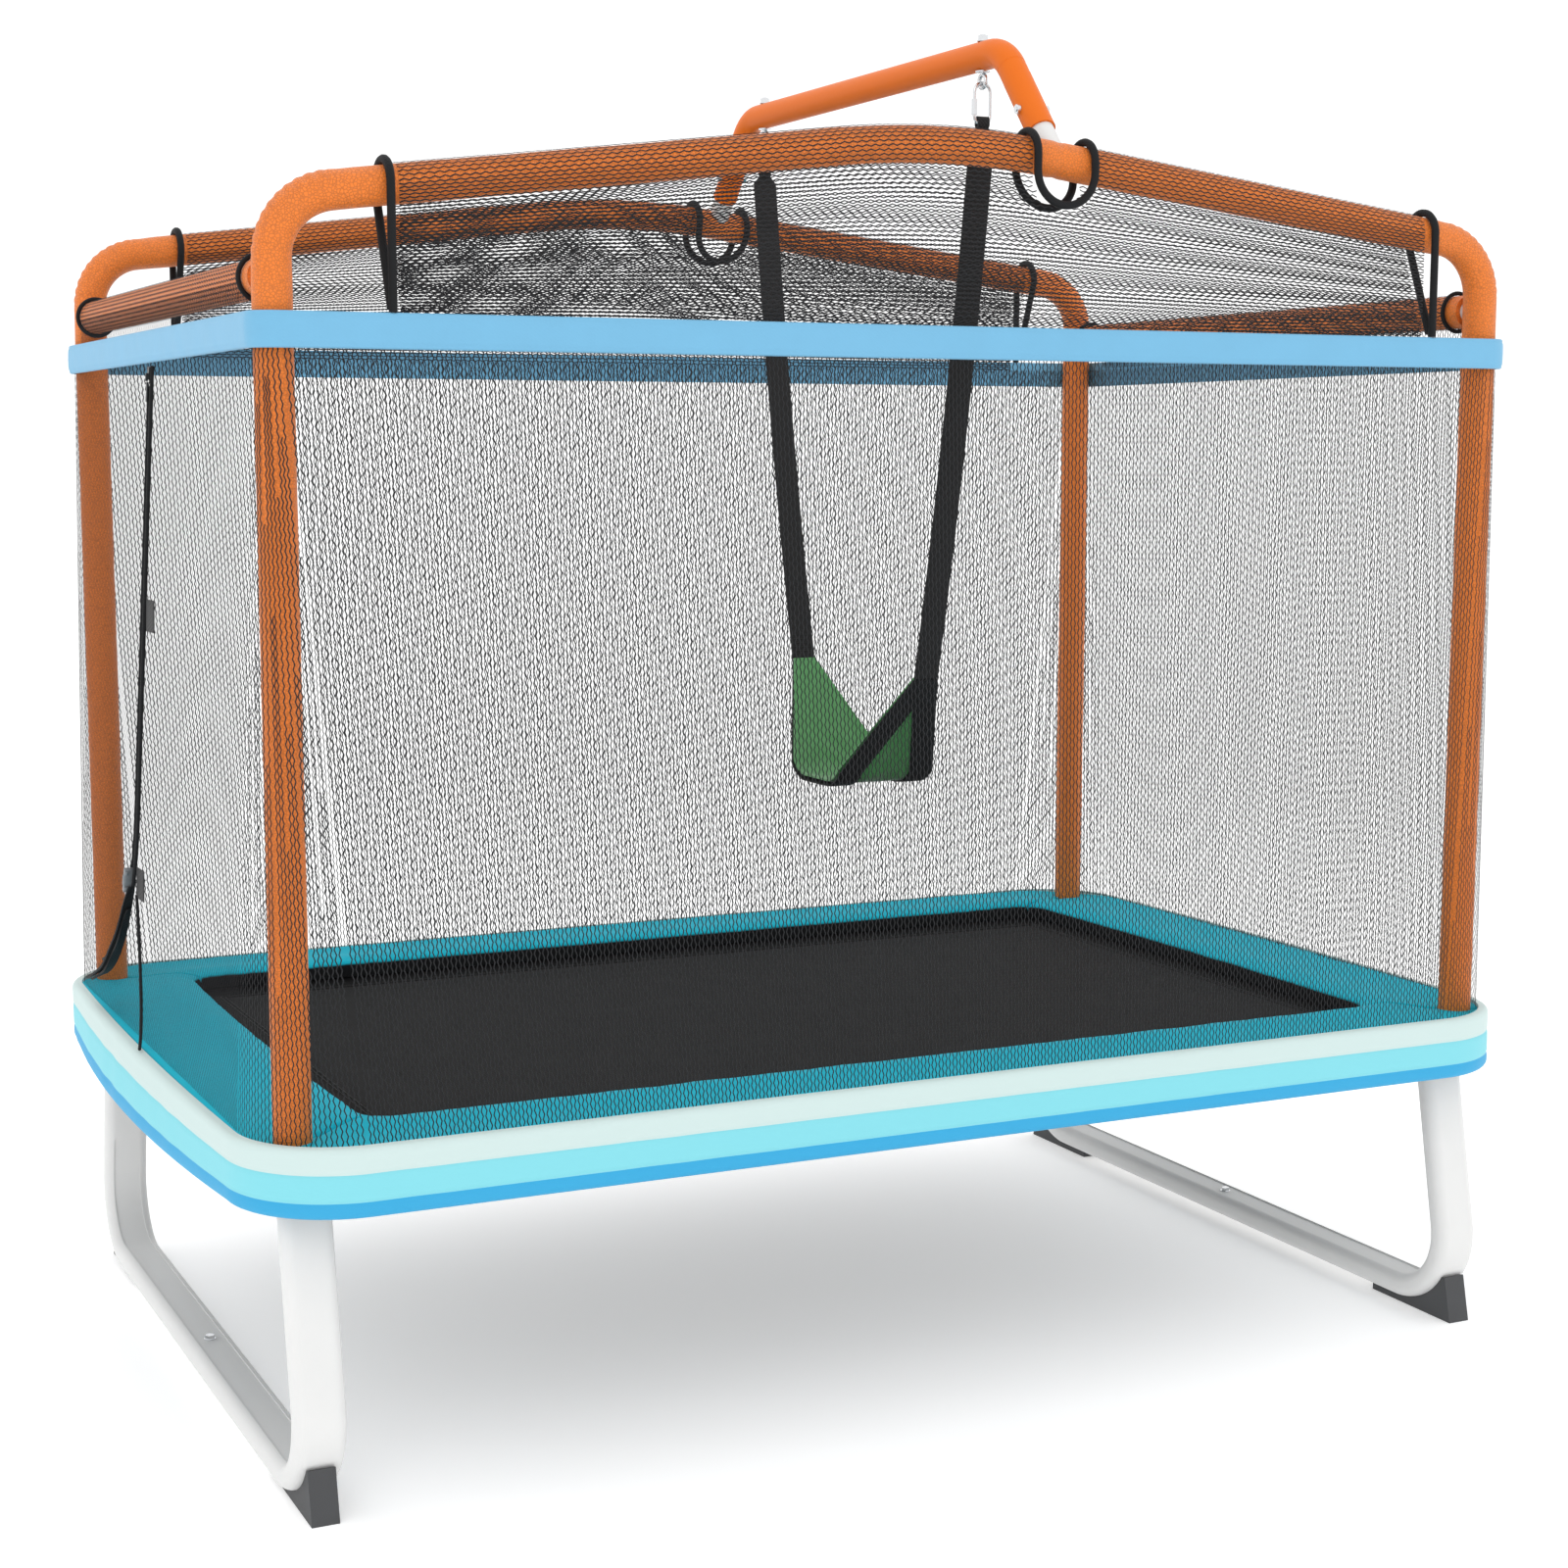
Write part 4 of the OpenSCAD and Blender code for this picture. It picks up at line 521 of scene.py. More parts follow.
def coat(obj, finish):
    """Gives an object one finish alone."""
    obj.data.materials.clear()
    obj.data.materials.append(material(finish))


def dress(obj, finish, slot, body, *nodes):
    """Gives a piece its finish and its body, and hides the solids it stands for; slot is not used."""
    coat(obj, finish)
    if body:
        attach(obj, body)
    if nodes:
        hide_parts(*nodes)


def grid_quads(rows, cols, wrap_rows=False, wrap_cols=False):
    """Faces of a grid of points, row by row."""
    i, j = (a.ravel() for a in np.meshgrid(
        np.arange(rows if wrap_rows else rows - 1),
        np.arange(cols if wrap_cols else cols - 1), indexing="ij"))
    i2, j2 = (i + 1) % rows, (j + 1) % cols
    return np.stack([i * cols + j, i * cols + j2, i2 * cols + j2, i2 * cols + j], 1)


def looped(name, loops, angle, wrap):
    """A closed mesh through loops of points, row by row; wrap joins the last loop to the first,
    and otherwise each of the two has a face over it."""
    rows, cols = loops.shape[:2]
    caps = () if wrap else (range(cols), reversed(range((rows - 1) * cols, rows * cols)))
    return solid(name, loops, grid_quads(rows, cols, wrap, True), angle, caps)


def slab(name, middle, normals, thickness, wrap=False):
    """A closed thin sheet round a grid of points; wrap joins the last row to the first."""
    rows, cols = middle.shape[:2]
    half = normals * np.broadcast_to(thickness, (rows, cols))[..., None] / 2
    loops = np.concatenate([middle + half, (middle - half)[:, ::-1]], 1)
    quads = [grid_quads(rows, 2 * cols, wrap, True)]
    if not wrap:
        j = np.arange(cols - 1)
        for base in (0, (rows - 1) * 2 * cols):
            quads.append(base + np.stack([j, j + 1, 2 * cols - 2 - j, 2 * cols - 1 - j], 1))
    made = make_mesh(name, loops, np.concatenate(quads))
    outward(made)
    return made


def grid_normals(middle):
    """Unit normals of a grid of points."""
    made = np.cross(np.gradient(middle, axis=0), np.gradient(middle, axis=1))
    return made / np.linalg.norm(made, axis=2, keepdims=True)


def curve_tube(name, points, radius, cyclic=False, sides=12):
    """A round cord along points in millimetres, as a closed mesh."""
    curve = bpy.data.curves.new(name, "CURVE")
    curve.dimensions = "3D"
    curve.bevel_depth = radius * MM
    curve.bevel_resolution = sides // 4 - 1
    curve.use_fill_caps = not cyclic
    spline = curve.splines.new("POLY")
    spline.points.add(len(points) - 1)
    spline.points.foreach_set("co", spots(*coords(points * MM), 1).ravel())
    spline.use_cyclic_u = cyclic
    made = bpy.data.objects.new(name, curve)
    bpy.context.scene.collection.objects.link(made)
    only(made)
    bpy.ops.object.convert(target="MESH")
    made = bpy.context.view_layer.objects.active
    made.name = name
    outward(made, merge=0.01)
    smooth(made, 50)
    return made


def arc(centre, radius, start, end, count):
    """Points of an arc in a plane, angles in radians."""
    angle = np.linspace(start, end, count)
    return spots(centre[0] + radius * np.cos(angle), centre[1] + radius * np.sin(angle))


def wobble(values, seed, terms=5, length=60.0):
    """A smooth repeatable wave of about unit height along lengths in millimetres."""
    draw = np.random.default_rng(seed)
    total = np.zeros_like(values)
    for _ in range(terms):
        total += np.sin(values * 2 * math.pi / (length * draw.uniform(0.6, 2.0))
                        + draw.uniform(0, 2 * math.pi)) * draw.uniform(0.4, 1.0)
    return total / terms * 1.6


# ---------- foam sleeves ----------

def rail_z(x):
    """Height of the top rail's axis at a distance from the middle."""
    x = np.abs(np.asarray(x, float))
    arch = CROWN_CZ + np.sqrt(np.maximum(CROWN_R ** 2 - np.minimum(x, CROWN_X) ** 2, 0))
    return np.where(x < CROWN_X, arch, CROWN_Z - (x - CROWN_X) * math.tan(SLOPE))


def rail_path(side, to_x):
    """The rail's axis in X and Z from a post up to a distance along, with its turn at each
    point: how much of the elbow's inside it is on, from 0 to 1."""
    up = spots(POST_X, np.linspace(JOINT_Z, BEND_Z, 14))
    bend = arc((ELBOW_CX, BEND_Z), ELBOW_R, 0, math.pi / 2 - SLOPE, 44)[1:]
    reach = np.linspace(SLOPE_X, to_x * side, int(abs(SLOPE_X - to_x * side) / 9) + 2)[1:]
    path = np.concatenate([up, bend, spots(reach, rail_z(reach))])
    turn = np.repeat([0.0, 1.0, 0.0], [len(up), len(bend), len(reach)])
    turn = np.convolve(np.pad(turn, 5, mode="edge"), np.ones(11) / 11, "valid")
    return path * [side, 1], turn


def foam_tube(name, axis, side_dir, bore, seed, crease=0.0):
    """A foam sleeve round an axis whose section's second direction is fixed; crease is the
    depth of its inner folds, at each point or all along."""
    first = np.cross([side_dir], headings(axis))[:, None]
    length, angle = np.meshgrid(run_length(axis), np.linspace(0, 2 * math.pi, 41)[:-1],
                                indexing="ij")
    radius = FOAM_R - 0.25 + 0.25 * wobble(length + 9 * np.sin(angle * 2 + seed), seed, length=90)
    inside = np.clip(np.cos(angle), 0, 1) ** 1.5
    folds = np.abs(np.sin(length * math.pi / 11 + 0.5 * np.sin(angle * 3)))
    radius -= crease * inside * (1 - folds) * 1.4
    edge = np.minimum(length, length[-1] - length)
    radius -= 1.2 * np.clip(1 - edge / 2.5, 0, 1) ** 2
    outer, inner = (axis[:, None] + first * (r * np.cos(angle))[..., None]
                    + np.array(side_dir) * (r * np.sin(angle))[..., None] for r in (radius, bore))
    return looped(name, np.concatenate([outer, inner[::-1]]), 50, True)


class TRAMPOLINE_OT_foam(bpy.types.Operator):
    """Build the foam sleeves on the posts, top rails and cross rails"""
    bl_idname = "trampoline.foam"
    bl_label = "Foam sleeves"

    def execute(self, context):
        crease = context.scene.trampoline_foam.crease
        post_z = np.concatenate([FOAM_FOOT + np.array([0, 1, 2.5]),
                                 np.linspace(FOAM_FOOT + 12, JOINT_Z - 12, 90),
                                 JOINT_Z - np.array([2.5, 1, 0.15])])
        cross_y = np.linspace(-1, 1, 110) * (POST_Y - FOAM_R - GAP)
        seed = 3
        for sx, side in SIDES:
            for sy, end in ENDS:
                post = foam_tube(f"post_sleeve_{side}_{end}",
                                 spots(sx * POST_X, sy * POST_Y, post_z), (0, 1, 0), FOAM_BORE, seed)
                self.fit(post, f"post_foam_{side}_{end}")
                path, turn = rail_path(sx, SWING_X + sx * RAIL_GAP)
                rail = foam_tube(f"rail_sleeve_{side}_{end}",
                                 spots(path[:, 0], sy * POST_Y, path[:, 1]), (0, sx, 0), FOAM_BORE,
                                 seed + 1, crease * turn[:, None])
                self.make_room(rail, sy)
                self.fit(rail, f"rail_foam_{side}_{end}")
                seed += 2
            cross = foam_tube(f"cross_sleeve_{side}", spots(sx * POST_X, cross_y, CROSS_Z),
                              (0, 0, 1), CROSS_BORE, seed)
            self.fit(cross, *(["cross_foam"] if sx < 0 else []))
        return {"FINISHED"}

    def fit(self, made, *nodes):
        dress(made, "foam", "foam_orange", "frame", *nodes)

    def make_room(self, rail, sy):
        """Cuts the hole through which the swing bar's stub leaves the sleeve."""
        centre = np.array([SWING_X, sy * (POST_Y - 20 * math.sin(STUB_LEAN)),
                           TEE_Z + 20 * math.cos(STUB_LEAN)])
        bpy.ops.mesh.primitive_cylinder_add(vertices=48, radius=STUB_HOLE_R * MM, depth=60 * MM,
                                            location=tuple(centre * MM),
                                            rotation=(sy * STUB_LEAN, 0, 0))
        cutter = bpy.context.view_layer.objects.active
        only(rail)
        cut = rail.modifiers.new("cut", "BOOLEAN")
        cut.operation, cut.solver, cut.object = "DIFFERENCE", "EXACT", cutter
        bpy.ops.object.modifier_apply(modifier=cut.name)
        bpy.data.objects.remove(cutter)
        smooth(rail, 50)


# ---------- pads and skirt ----------

def mitre_angle(centre, radius):
    """Where a corner's arc crosses the line from the opening's corner through the post."""
    off = np.array([OPEN_X, OPEN_Y]) - centre
    run = np.array([POST_X - OPEN_X, POST_Y - OPEN_Y])
    run /= np.linalg.norm(run)
    b = float(off @ run)
    point = off + run * (-b + math.sqrt(b * b - float(off @ off) + radius ** 2))
    return math.atan2(point[1], point[0])


def pad_edge(half_x, half_y, radius, long_side, bow=0.0):
    """One side's edge line, from mitre to mitre, round half of each corner; a short side bows
    outwards at its middle."""
    centre = np.array([half_x - radius, half_y - radius])
    first = arc(centre, radius, mitre_angle(centre, radius), math.pi / 2 if long_side else 0, 12)
    if long_side:
        middle = spots(np.linspace(centre[0], -centre[0], 150)[1:-1], half_y)
        return np.concatenate([first, middle, (first * [-1, 1])[::-1]])
    middle = spots(half_x, np.linspace(centre[1], -centre[1], 90)[1:-1])
    line = np.concatenate([first, middle, (first * [1, -1])[::-1]])
    line[:, 0] += bow * (1 - (line[:, 1] / half_y) ** 2)
    return line


def droop(reach):
    """How far a pad sinks onto the mat, by the distance from its inner edge."""
    return PAD_DROOP * np.exp(-(reach / 24) ** 2)


def pad_points(long_side, seed, wrinkle):
    """Closed loops of a pad's section, one at each station along it: its top from the inner
    edge to the outer one, then its underside back."""
    inner = pad_edge(OPEN_X, OPEN_Y, OPEN_R, long_side, PAD_BOW_IN)
    outer = pad_edge(PAD_OUT_X, PAD_OUT_Y, PAD_OUT_R, long_side, PAD_BOW_OUT)
    length = run_length(outer)[:, None]
    width = np.linalg.norm(outer - inner, axis=1)[:, None]
    unit = (outer - inner) / width
    close = np.clip(1 - np.minimum(length, length[-1] - length) / 9, 0, 1) ** 2
    across = np.concatenate([[0, 0, 0.4, 1.4, 3.5, 7, 12], np.linspace(20, 100, 12)])
    reach = np.concatenate([across * np.minimum(1, (width - 14) / 100),
                            width - np.array([10, 6, 3, 1.2, 0.3, 0.3])], 1)
    level = np.concatenate([[0, 0.55, 0.78, 0.9, 0.965, 0.99], np.ones(14),
                            [0.995, 0.985, 0.95, 0.82, 0]])
    t = reach / width
    puff = PAD_CROWN * np.sin(math.pi * np.clip(t, 0, 1)) ** 0.8
    near = np.exp(-reach / 16) + 0.7 * np.exp(-(width - reach) / 16)
    gather = wrinkle * near * wobble(length + reach * 0.3, seed, 7, 26)
    slack = 0.6 * wobble(length - reach * 0.8, seed + 1, 4, 140)
    x, y = (inner[:, i:i + 1] + unit[:, i:i + 1] * reach for i in (0, 1))
    post = np.hypot(np.abs(x) - POST_X, np.abs(y) - POST_Y)
    ease = np.clip(t / 0.6, 0, 1)
    curl = np.clip((t - 0.78) / 0.2, 0, 1)
    dip = (PAD_DIP - PAD_CURL * curl) * ease ** 2 * (3 - 2 * ease) \
        + POST_DIP * np.exp(-(post / 62) ** 2)
    height = (PAD_T + puff + gather + slack - dip - 6.5 * close) * level
    out = 0.8 * wobble(length + 0 * reach, seed + 2, 5, 60) * (reach < 5) * level
    top = stand_off(inner, unit, reach + out, PAD_Z + np.maximum(height, 0) - droop(reach))
    back = np.concatenate([width - np.array([12, 40]), 0 * width + [60, 40, 25, 12, 4]], 1)
    return np.concatenate([top, stand_off(inner, unit, back, PAD_Z - droop(back))], 1)


def stand_off(path, out, away, z):
    """Points away from a path along its outward directions, at heights z, a row at each."""
    return spots(path[:, :1] + out[:, :1] * away, path[:, 1:] + out[:, 1:] * away, z)


def rim_path(half_x, half_y, radius, straight=90, turn=22):
    """A rounded rectangle's points with their outward directions, anticlockwise."""
    centres = np.array([(1, 1), (-1, 1), (-1, -1), (1, -1)]) * [half_x - radius, half_y - radius]
    points, outs = [], []
    for k, centre in enumerate(centres):
        out = arc((0, 0), 1, k * math.pi / 2, (k + 1) * math.pi / 2, turn)
        corner = centre + out * radius
        count = straight if k % 2 == 0 else straight * 2 // 3
        t = np.linspace(0, 1, count + 2)[1:-1, None]
        points += [corner, corner[-1] + (centres[(k + 1) % 4] - centre) * t]
        outs += [out, np.repeat(out[-1:], count, 0)]
    return np.concatenate(points), np.concatenate(outs)


class TRAMPOLINE_OT_rim(bpy.types.Operator):
    """Build the spring pads and the striped skirt"""
    bl_idname = "trampoline.rim"
    bl_label = "Pads and skirt"

    def execute(self, context):
        rim = context.scene.trampoline_rim
        for end, long_side, seed, flip in (("back", True, 21, (1, 1)), ("front", True, 22, (1, -1)),
                                           ("right", False, 31, (1, 1)),
                                           ("left", False, 32, (-1, 1))):
            loops = mirrored(pad_points(long_side, seed, rim.wrinkle), *flip)
            pad = looped(f"spring_pad_{end}", loops, 60, False)
            # Inner edge and underside take the dark colour: black cloth underneath, and painted shade
            # of the gap under the pad on the inner edge
            below = np.ones(loops.shape[:2], np.float32)
            below[:, 3:-8] = 0
            pad.data.attributes.new("underside", "FLOAT", "POINT").data.foreach_set(
                "value", below.ravel())
            dress(pad, "pad", "pad_teal", "frame", f"pad_{end}")
        self.skirt(rim.bow)
        return {"FINISHED"}

    def skirt(self, bow):
        """One padded ring with three sewn stripes and a rolled lower edge."""
        path, out = rim_path(SKIRT_X, SKIRT_Y, SKIRT_R)
        length = run_length(path)[:, None]
        total = length[-1, 0] + np.linalg.norm(path[0] - path[-1])
        brim = SKIRT_TOP - BRIM_DROP
        turn = np.linspace(0, math.pi / 2, 6)
        z = np.concatenate([SKIRT_Z + FOOT_ROLL - FOOT_ROLL * np.cos(turn),
                            np.linspace(383, brim - 10, 24),
                            brim - BRIM_ROLL + BRIM_ROLL * np.sin(turn)])
        inset = np.concatenate([FOOT_ROLL - FOOT_ROLL * np.sin(turn), np.zeros(24),
                                BRIM_ROLL - BRIM_ROLL * np.cos(turn)])
        groove = sum(SEAM_DEPTH * np.exp(-((z - seam) / 2.2) ** 2) for seam in STRIPE_SEAMS)
        stretch = np.clip(1 - (path[:, 1:] / (SKIRT_Y - SKIRT_R)) ** 2, 0, 1) \
            * (np.abs(out[:, :1]) > 0.99)
        heights = np.linspace(brim, SKIRT_Z, 5)

        def flare(z):
            return bow * (1 - 2 / 3 * (z - SKIRT_Z) / (brim - SKIRT_Z)) * stretch
        ripple = length * round(total / 70) * 70 / total
        sway = 0.9 * wobble(ripple + z * 0.6, 41, 6, 70) * np.minimum(1, length / 60) \
            * np.minimum(1, (total - length) / 60)
        face = stand_off(path, out, sway * (inset < 1) - inset - groove + flare(z), z)
        inner = stand_off(path, out, flare(heights) - SKIRT_T, heights)
        made = looped("skirt", np.concatenate([face, inner], 1), 60, True)
        dress(made, "skirt", "skirt_cyan", "frame",
              "skirt_front", "skirt_back", "skirt_left", "skirt_right")


# ---------- mat and springs ----------

def spring_places():
    """Each spring's place at the mat's edge and its outward direction, side by side."""
    xs = (np.arange(SPRINGS_LONG) / (SPRINGS_LONG - 1) - 0.5) * (2 * MAT_X - 120)
    ys = (np.arange(SPRINGS_SHORT) / (SPRINGS_SHORT - 1) - 0.5) * (2 * MAT_Y - 110)
    return {"right": [(MAT_X, y, 1, 0) for y in ys], "left": [(-MAT_X, y, -1, 0) for y in ys],
            "back": [(x, MAT_Y, 0, 1) for x in xs], "front": [(x, -MAT_Y, 0, -1) for x in xs]}


class TRAMPOLINE_OT_mat(bpy.types.Operator):
    """Build the jumping mat with its hem, and the coil springs"""
    bl_idname = "trampoline.mat"
    bl_label = "Mat and springs"

    def execute(self, context):
        settings = context.scene.trampoline_mat
        self.mat(settings.hem)
        self.springs(settings.wire, settings.turns)
        return {"FINISHED"}

    def mat(self, hem):
        insets = [0, 1.2, hem - 3, hem - 1.5, hem, hem + 1.5, hem + 4, hem + 40, hem + 120,
                  hem + 220, hem + 300, MAT_Y - 4]
        levels = [0.5, 1.0, 1.0, 0.55, 0.75, 0.45, -0.25, -0.4, -0.5, -0.5, -0.5, -0.5]
        rings = np.array([self.ring(inset, max(MAT_R - inset, 3.0), level, 8)
                          for inset, level in zip(insets, levels)])
        loops = np.concatenate([rings[::-1] * [1, 1, -1], rings])
        made = looped("jumping_mat", loops + [0, 0, MAT_Z], 60, False)
        dress(made, "mat", "mat_black", "mat", "mat")
        seam = join([curve_tube("seam", self.ring(inset, 4.0, MAT_Z + 1.2, 5), 0.55, True, 8)
                     for inset in (hem, hem - 6)], "mat_hem_stitching")
        dress(seam, "webbing", "mat_black", "mat")

    def ring(self, inset, radius, z, turn):
        """The mat's outline, moved inwards."""
        line, _ = rim_path(MAT_X - inset, MAT_Y - inset, radius, 90, turn)
        return spots(*coords(line), z)

    def springs(self, wire, turns):
        """One coil with its hooks, copied to each place from mat to frame."""
        start, coil_from, coil_to = 12.3, 17.3, 52.7
        radius = (COIL_WIDTH - wire) / 2
        angle = np.linspace(0, 2 * math.pi * turns, turns * 12 + 1)
        reach = coil_from + (coil_to - coil_from) * angle / angle[-1]
        ease = np.minimum(1, np.minimum(angle, angle[-1] - angle) / (2 * math.pi)) * radius
        coil = spots(reach, ease * np.cos(angle), ease * np.sin(angle))
        far, side, up = coords(np.concatenate([
            [[start - 6, 0, 0], [start, 0, 0]], coil,
            [[SPRING_GAP - 4, 0, 0], [HOOK_REACH - 0.4, 0, 0]]]))
        for name, places in spring_places().items():
            copies = [curve_tube("spring", spots(x + far * ux - side * uy, y + far * uy + side * ux,
                                                 MAT_Z + up), wire / 2, False, 4)
                      for x, y, ux, uy in places]
            made = join(copies, f"springs_{name}")
            dress(made, "spring", "spring_steel", None, *(["springs"] if name == "right" else []))
            x, y, ux, uy = places[len(places) // 2]
            ends = [((x + ux * reach) * MM, (y + uy * reach) * MM, MAT_Z * MM)
                    for reach in (14, HOOK_REACH)]
            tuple(ends[0])
            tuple(ends[1])
            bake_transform(made)


# ---------- enclosure ----------

def knit(name, place, across, along, amplitude, thread, keep=None, first=0):
    """Knitted columns as closed three-sided strands. place turns two arrays into points and
    outward directions; each column zigzags by amplitude against its neighbours, and first is
    the first one's number."""
    s, t = np.meshgrid(across, along, indexing="ij")
    sign = 1 - 2 * ((first + np.arange(len(across))[:, None] + np.arange(len(along))) % 2)
    points, out = place(s + amplitude * sign, t)
    side = np.cross(np.gradient(points, axis=1), out)
    side /= np.linalg.norm(side, axis=2, keepdims=True)
    half, rise = 0.5 * thread, 0.2
    rings = np.stack([points + side * half - out * rise / 3, points - side * half - out * rise / 3,
                      points + out * rise * 2 / 3], 2)
    inside = np.ones(s.shape, bool) if keep is None else keep(points)
    both = inside[:, :-1] & inside[:, 1:]
    starts = both & ~np.pad(both, ((0, 0), (1, 0)))[:, :-1]
    stops = both & ~np.pad(both, ((0, 0), (0, 1)))[:, 1:]
    index = np.arange(s.size * 3).reshape(s.shape + (3,))
    low, high = index[:, :-1][both], index[:, 1:][both]
    quads = np.concatenate([np.stack([low[:, p], low[:, q], high[:, q], high[:, p]], 1)
                            for p, q in ((0, 1), (1, 2), (2, 0))])
    tris = np.concatenate([index[:, :-1][starts][:, ::-1], index[:, 1:][stops]])
    used, back = np.unique(np.concatenate([quads.ravel(), tris.ravel()]), return_inverse=True)
    made = make_mesh(name, rings.reshape(-1, 3)[used], back[:quads.size].reshape(-1, 4),
                     back[quads.size:].reshape(-1, 3))
    smooth(made)
    return made


def yarn_area(made):
    """Flat area of the yarn in a net, in square metres: half of its surface."""
    area = np.empty(len(made.data.polygons))
    made.data.polygons.foreach_get("area", area)
    return float(area.sum()) / 2


def declare_net(made, body, size, rests_on, *nodes):
    dress(made, "net", "net_black", body, *nodes)
    share = min(max(yarn_area(made) / (size[0] * size[1]), 0.3), 1.0)


def panel(long_side, sign):
    """Places net on a side: s from -1 to 1 across, v up from the foot; and its height."""
    tilt, foot, top_half, foot_half = (TILT_Y, NET_FOOT_Y, POST_X, SKIRT_CX) if long_side \
        else (TILT_X, NET_FOOT_X, POST_Y, SKIRT_CY)
    height = NET_H / math.cos(tilt)
    out = (0, sign * math.cos(tilt), math.sin(tilt)) if long_side \
        else (sign * math.cos(tilt), 0, math.sin(tilt))

    def place(s, v):
        level = s * (foot_half + (top_half - foot_half) * v / height)
        deep = sign * (foot - NET_T / 2 - v * math.sin(tilt))
        flat = (level, deep) if long_side else (deep, level)
        return spots(*flat, NET_Z0 + v * math.cos(tilt)), np.array(out)
    return place, height


def corner_net(sx, sy):
    """Places net round a post: s from 0 to 1 round it, v from 0 at the pads to 1 at the band."""
    def place(s, v):
        turn = s * math.pi / 2
        reach = NET_FOOT_R - NET_T / 2 + (NET_OFF - NET_FOOT_R) * v
        x = SKIRT_CX + (POST_X - SKIRT_CX) * v + reach * np.cos(turn)
        y = SKIRT_CY + (POST_Y - SKIRT_CY) * v + reach * np.sin(turn)
        return (mirrored(spots(x, y, NET_Z0 + NET_H * v), sx, sy),
                mirrored(spots(np.cos(turn), np.sin(turn), 0), sx, sy))
    return place


def left_point(y, v, lift=0.0):
    """A point of the left side's plane in space, lifted outwards."""
    x = NET_FOOT_X - NET_T / 2 - v * math.sin(TILT_X)
    return spots(-x, y, NET_Z0 + v * math.cos(TILT_X)) + np.asarray(lift)[..., None] * LEFT_OUT


def zip_point(d, off=0.0):
    """A point on the zip in the left side's plane, d along it and off to the door's side."""
    d = np.asarray(d, float)
    sine, cosine = math.sin(ZIP_LEAN), math.cos(ZIP_LEAN)
    centre = (ZIP_Y + ZIP_STRAIGHT * sine + ZIP_R * cosine,
              ZIP_V0 - ZIP_STRAIGHT * cosine + ZIP_R * sine)
    angle = math.pi + ZIP_LEAN + (d - ZIP_STRAIGHT) / ZIP_R
    straight = spots(ZIP_Y + d * sine + off * cosine, ZIP_V0 - d * cosine + off * sine)
    curved = spots(centre[0] + (ZIP_R - off) * np.cos(angle),
                   centre[1] + (ZIP_R - off) * np.sin(angle))
    return np.where((d <= ZIP_STRAIGHT)[..., None], straight, curved)


def zip_place(d, off, lift):
    """A point on the zip in space, lifted off the net."""
    return left_point(*coords(zip_point(d, off)), lift)


ZIP_TIP_V = zip_point(ZIP_END)[1]


def zip_side(points):
    """How far points of the left side lie on the door's side of the zip, and their v."""
    v = (points[..., 2] - NET_Z0) / math.cos(TILT_X)
    y, height = coords(zip_point(np.linspace(0, ZIP_END, 400))[::-1])
    slope = np.interp(v, height, np.gradient(y, height))
    return (points[..., 1] - np.interp(v, height, y)) / np.sqrt(1 + slope ** 2), v


def leave_angle(x, radius):
    """Angle below level at which the sleeve's inner layer leaves the rail."""
    dy, dz = SLEEVE_FOOT_Y - POST_Y, rail_z(x) - BAND_TOP - GAP
    return np.arcsin((radius + dy) / np.hypot(dy, dz))


def over_rail(sy, radius=SLEEVE_R + NET_T / 2):
    """Places net over a long rail: s from 0 to 1 up the outer layer, to 2 round the rail and to
    3 down the inner layer, and x along it."""
    def place(s, x):
        top = rail_z(x)
        low = BAND_TOP - 14
        turn = np.clip(s - 1, 0, 1) * (math.pi + leave_angle(x, radius))
        y = POST_Y + radius * np.cos(turn)
        z = np.where(s < 1, low + np.clip(s, 0, 1) * (top - low), top + radius * np.sin(turn))
        fall = np.clip(s - 2, 0, 1)
        y = y + fall * (SLEEVE_FOOT_Y - NET_T / 2 - y)
        z = z + fall * (BAND_TOP + GAP - z)
        return (mirrored(spots(x, y, z), 1, sy),
                mirrored(spots(0, np.cos(turn), np.sin(turn)), 1, sy))
    return place


def outside_notch(points):
    """Which points of a sleeve are outside its notch for the swing bar."""
    away = np.abs(points[..., 0] - SWING_X)
    edge = TEE_Z - NOTCH_DEPTH + NOTCH_HALF \
        - np.sqrt(NOTCH_HALF ** 2 - np.minimum(away, NOTCH_HALF) ** 2)
    return (away >= NOTCH_HALF - 2) | (points[..., 2] <= edge - 1)


def round_cross(sx):
    """Places net round a cross rail: s from 0 to 1 round it, and y along it."""
    def place(s, y):
        angle = s * 2 * math.pi
        out = mirrored(spots(np.cos(angle), 0, np.sin(angle)), sx)
        return spots(sx * POST_X, y, CROSS_Z) + out * (FOAM_R + GAP + NET_T / 2), out
    return place


def below_cross(sx):
    """Places net between a cross rail and the band: s from -1 to 1 across, at heights z."""
    def place(s, z):
        return (spots(sx * (POST_X + NET_OFF - NET_T / 2), s * (CROSS_RING_Y - 6), z),
                np.array([sx, 0, 0]))
    return place


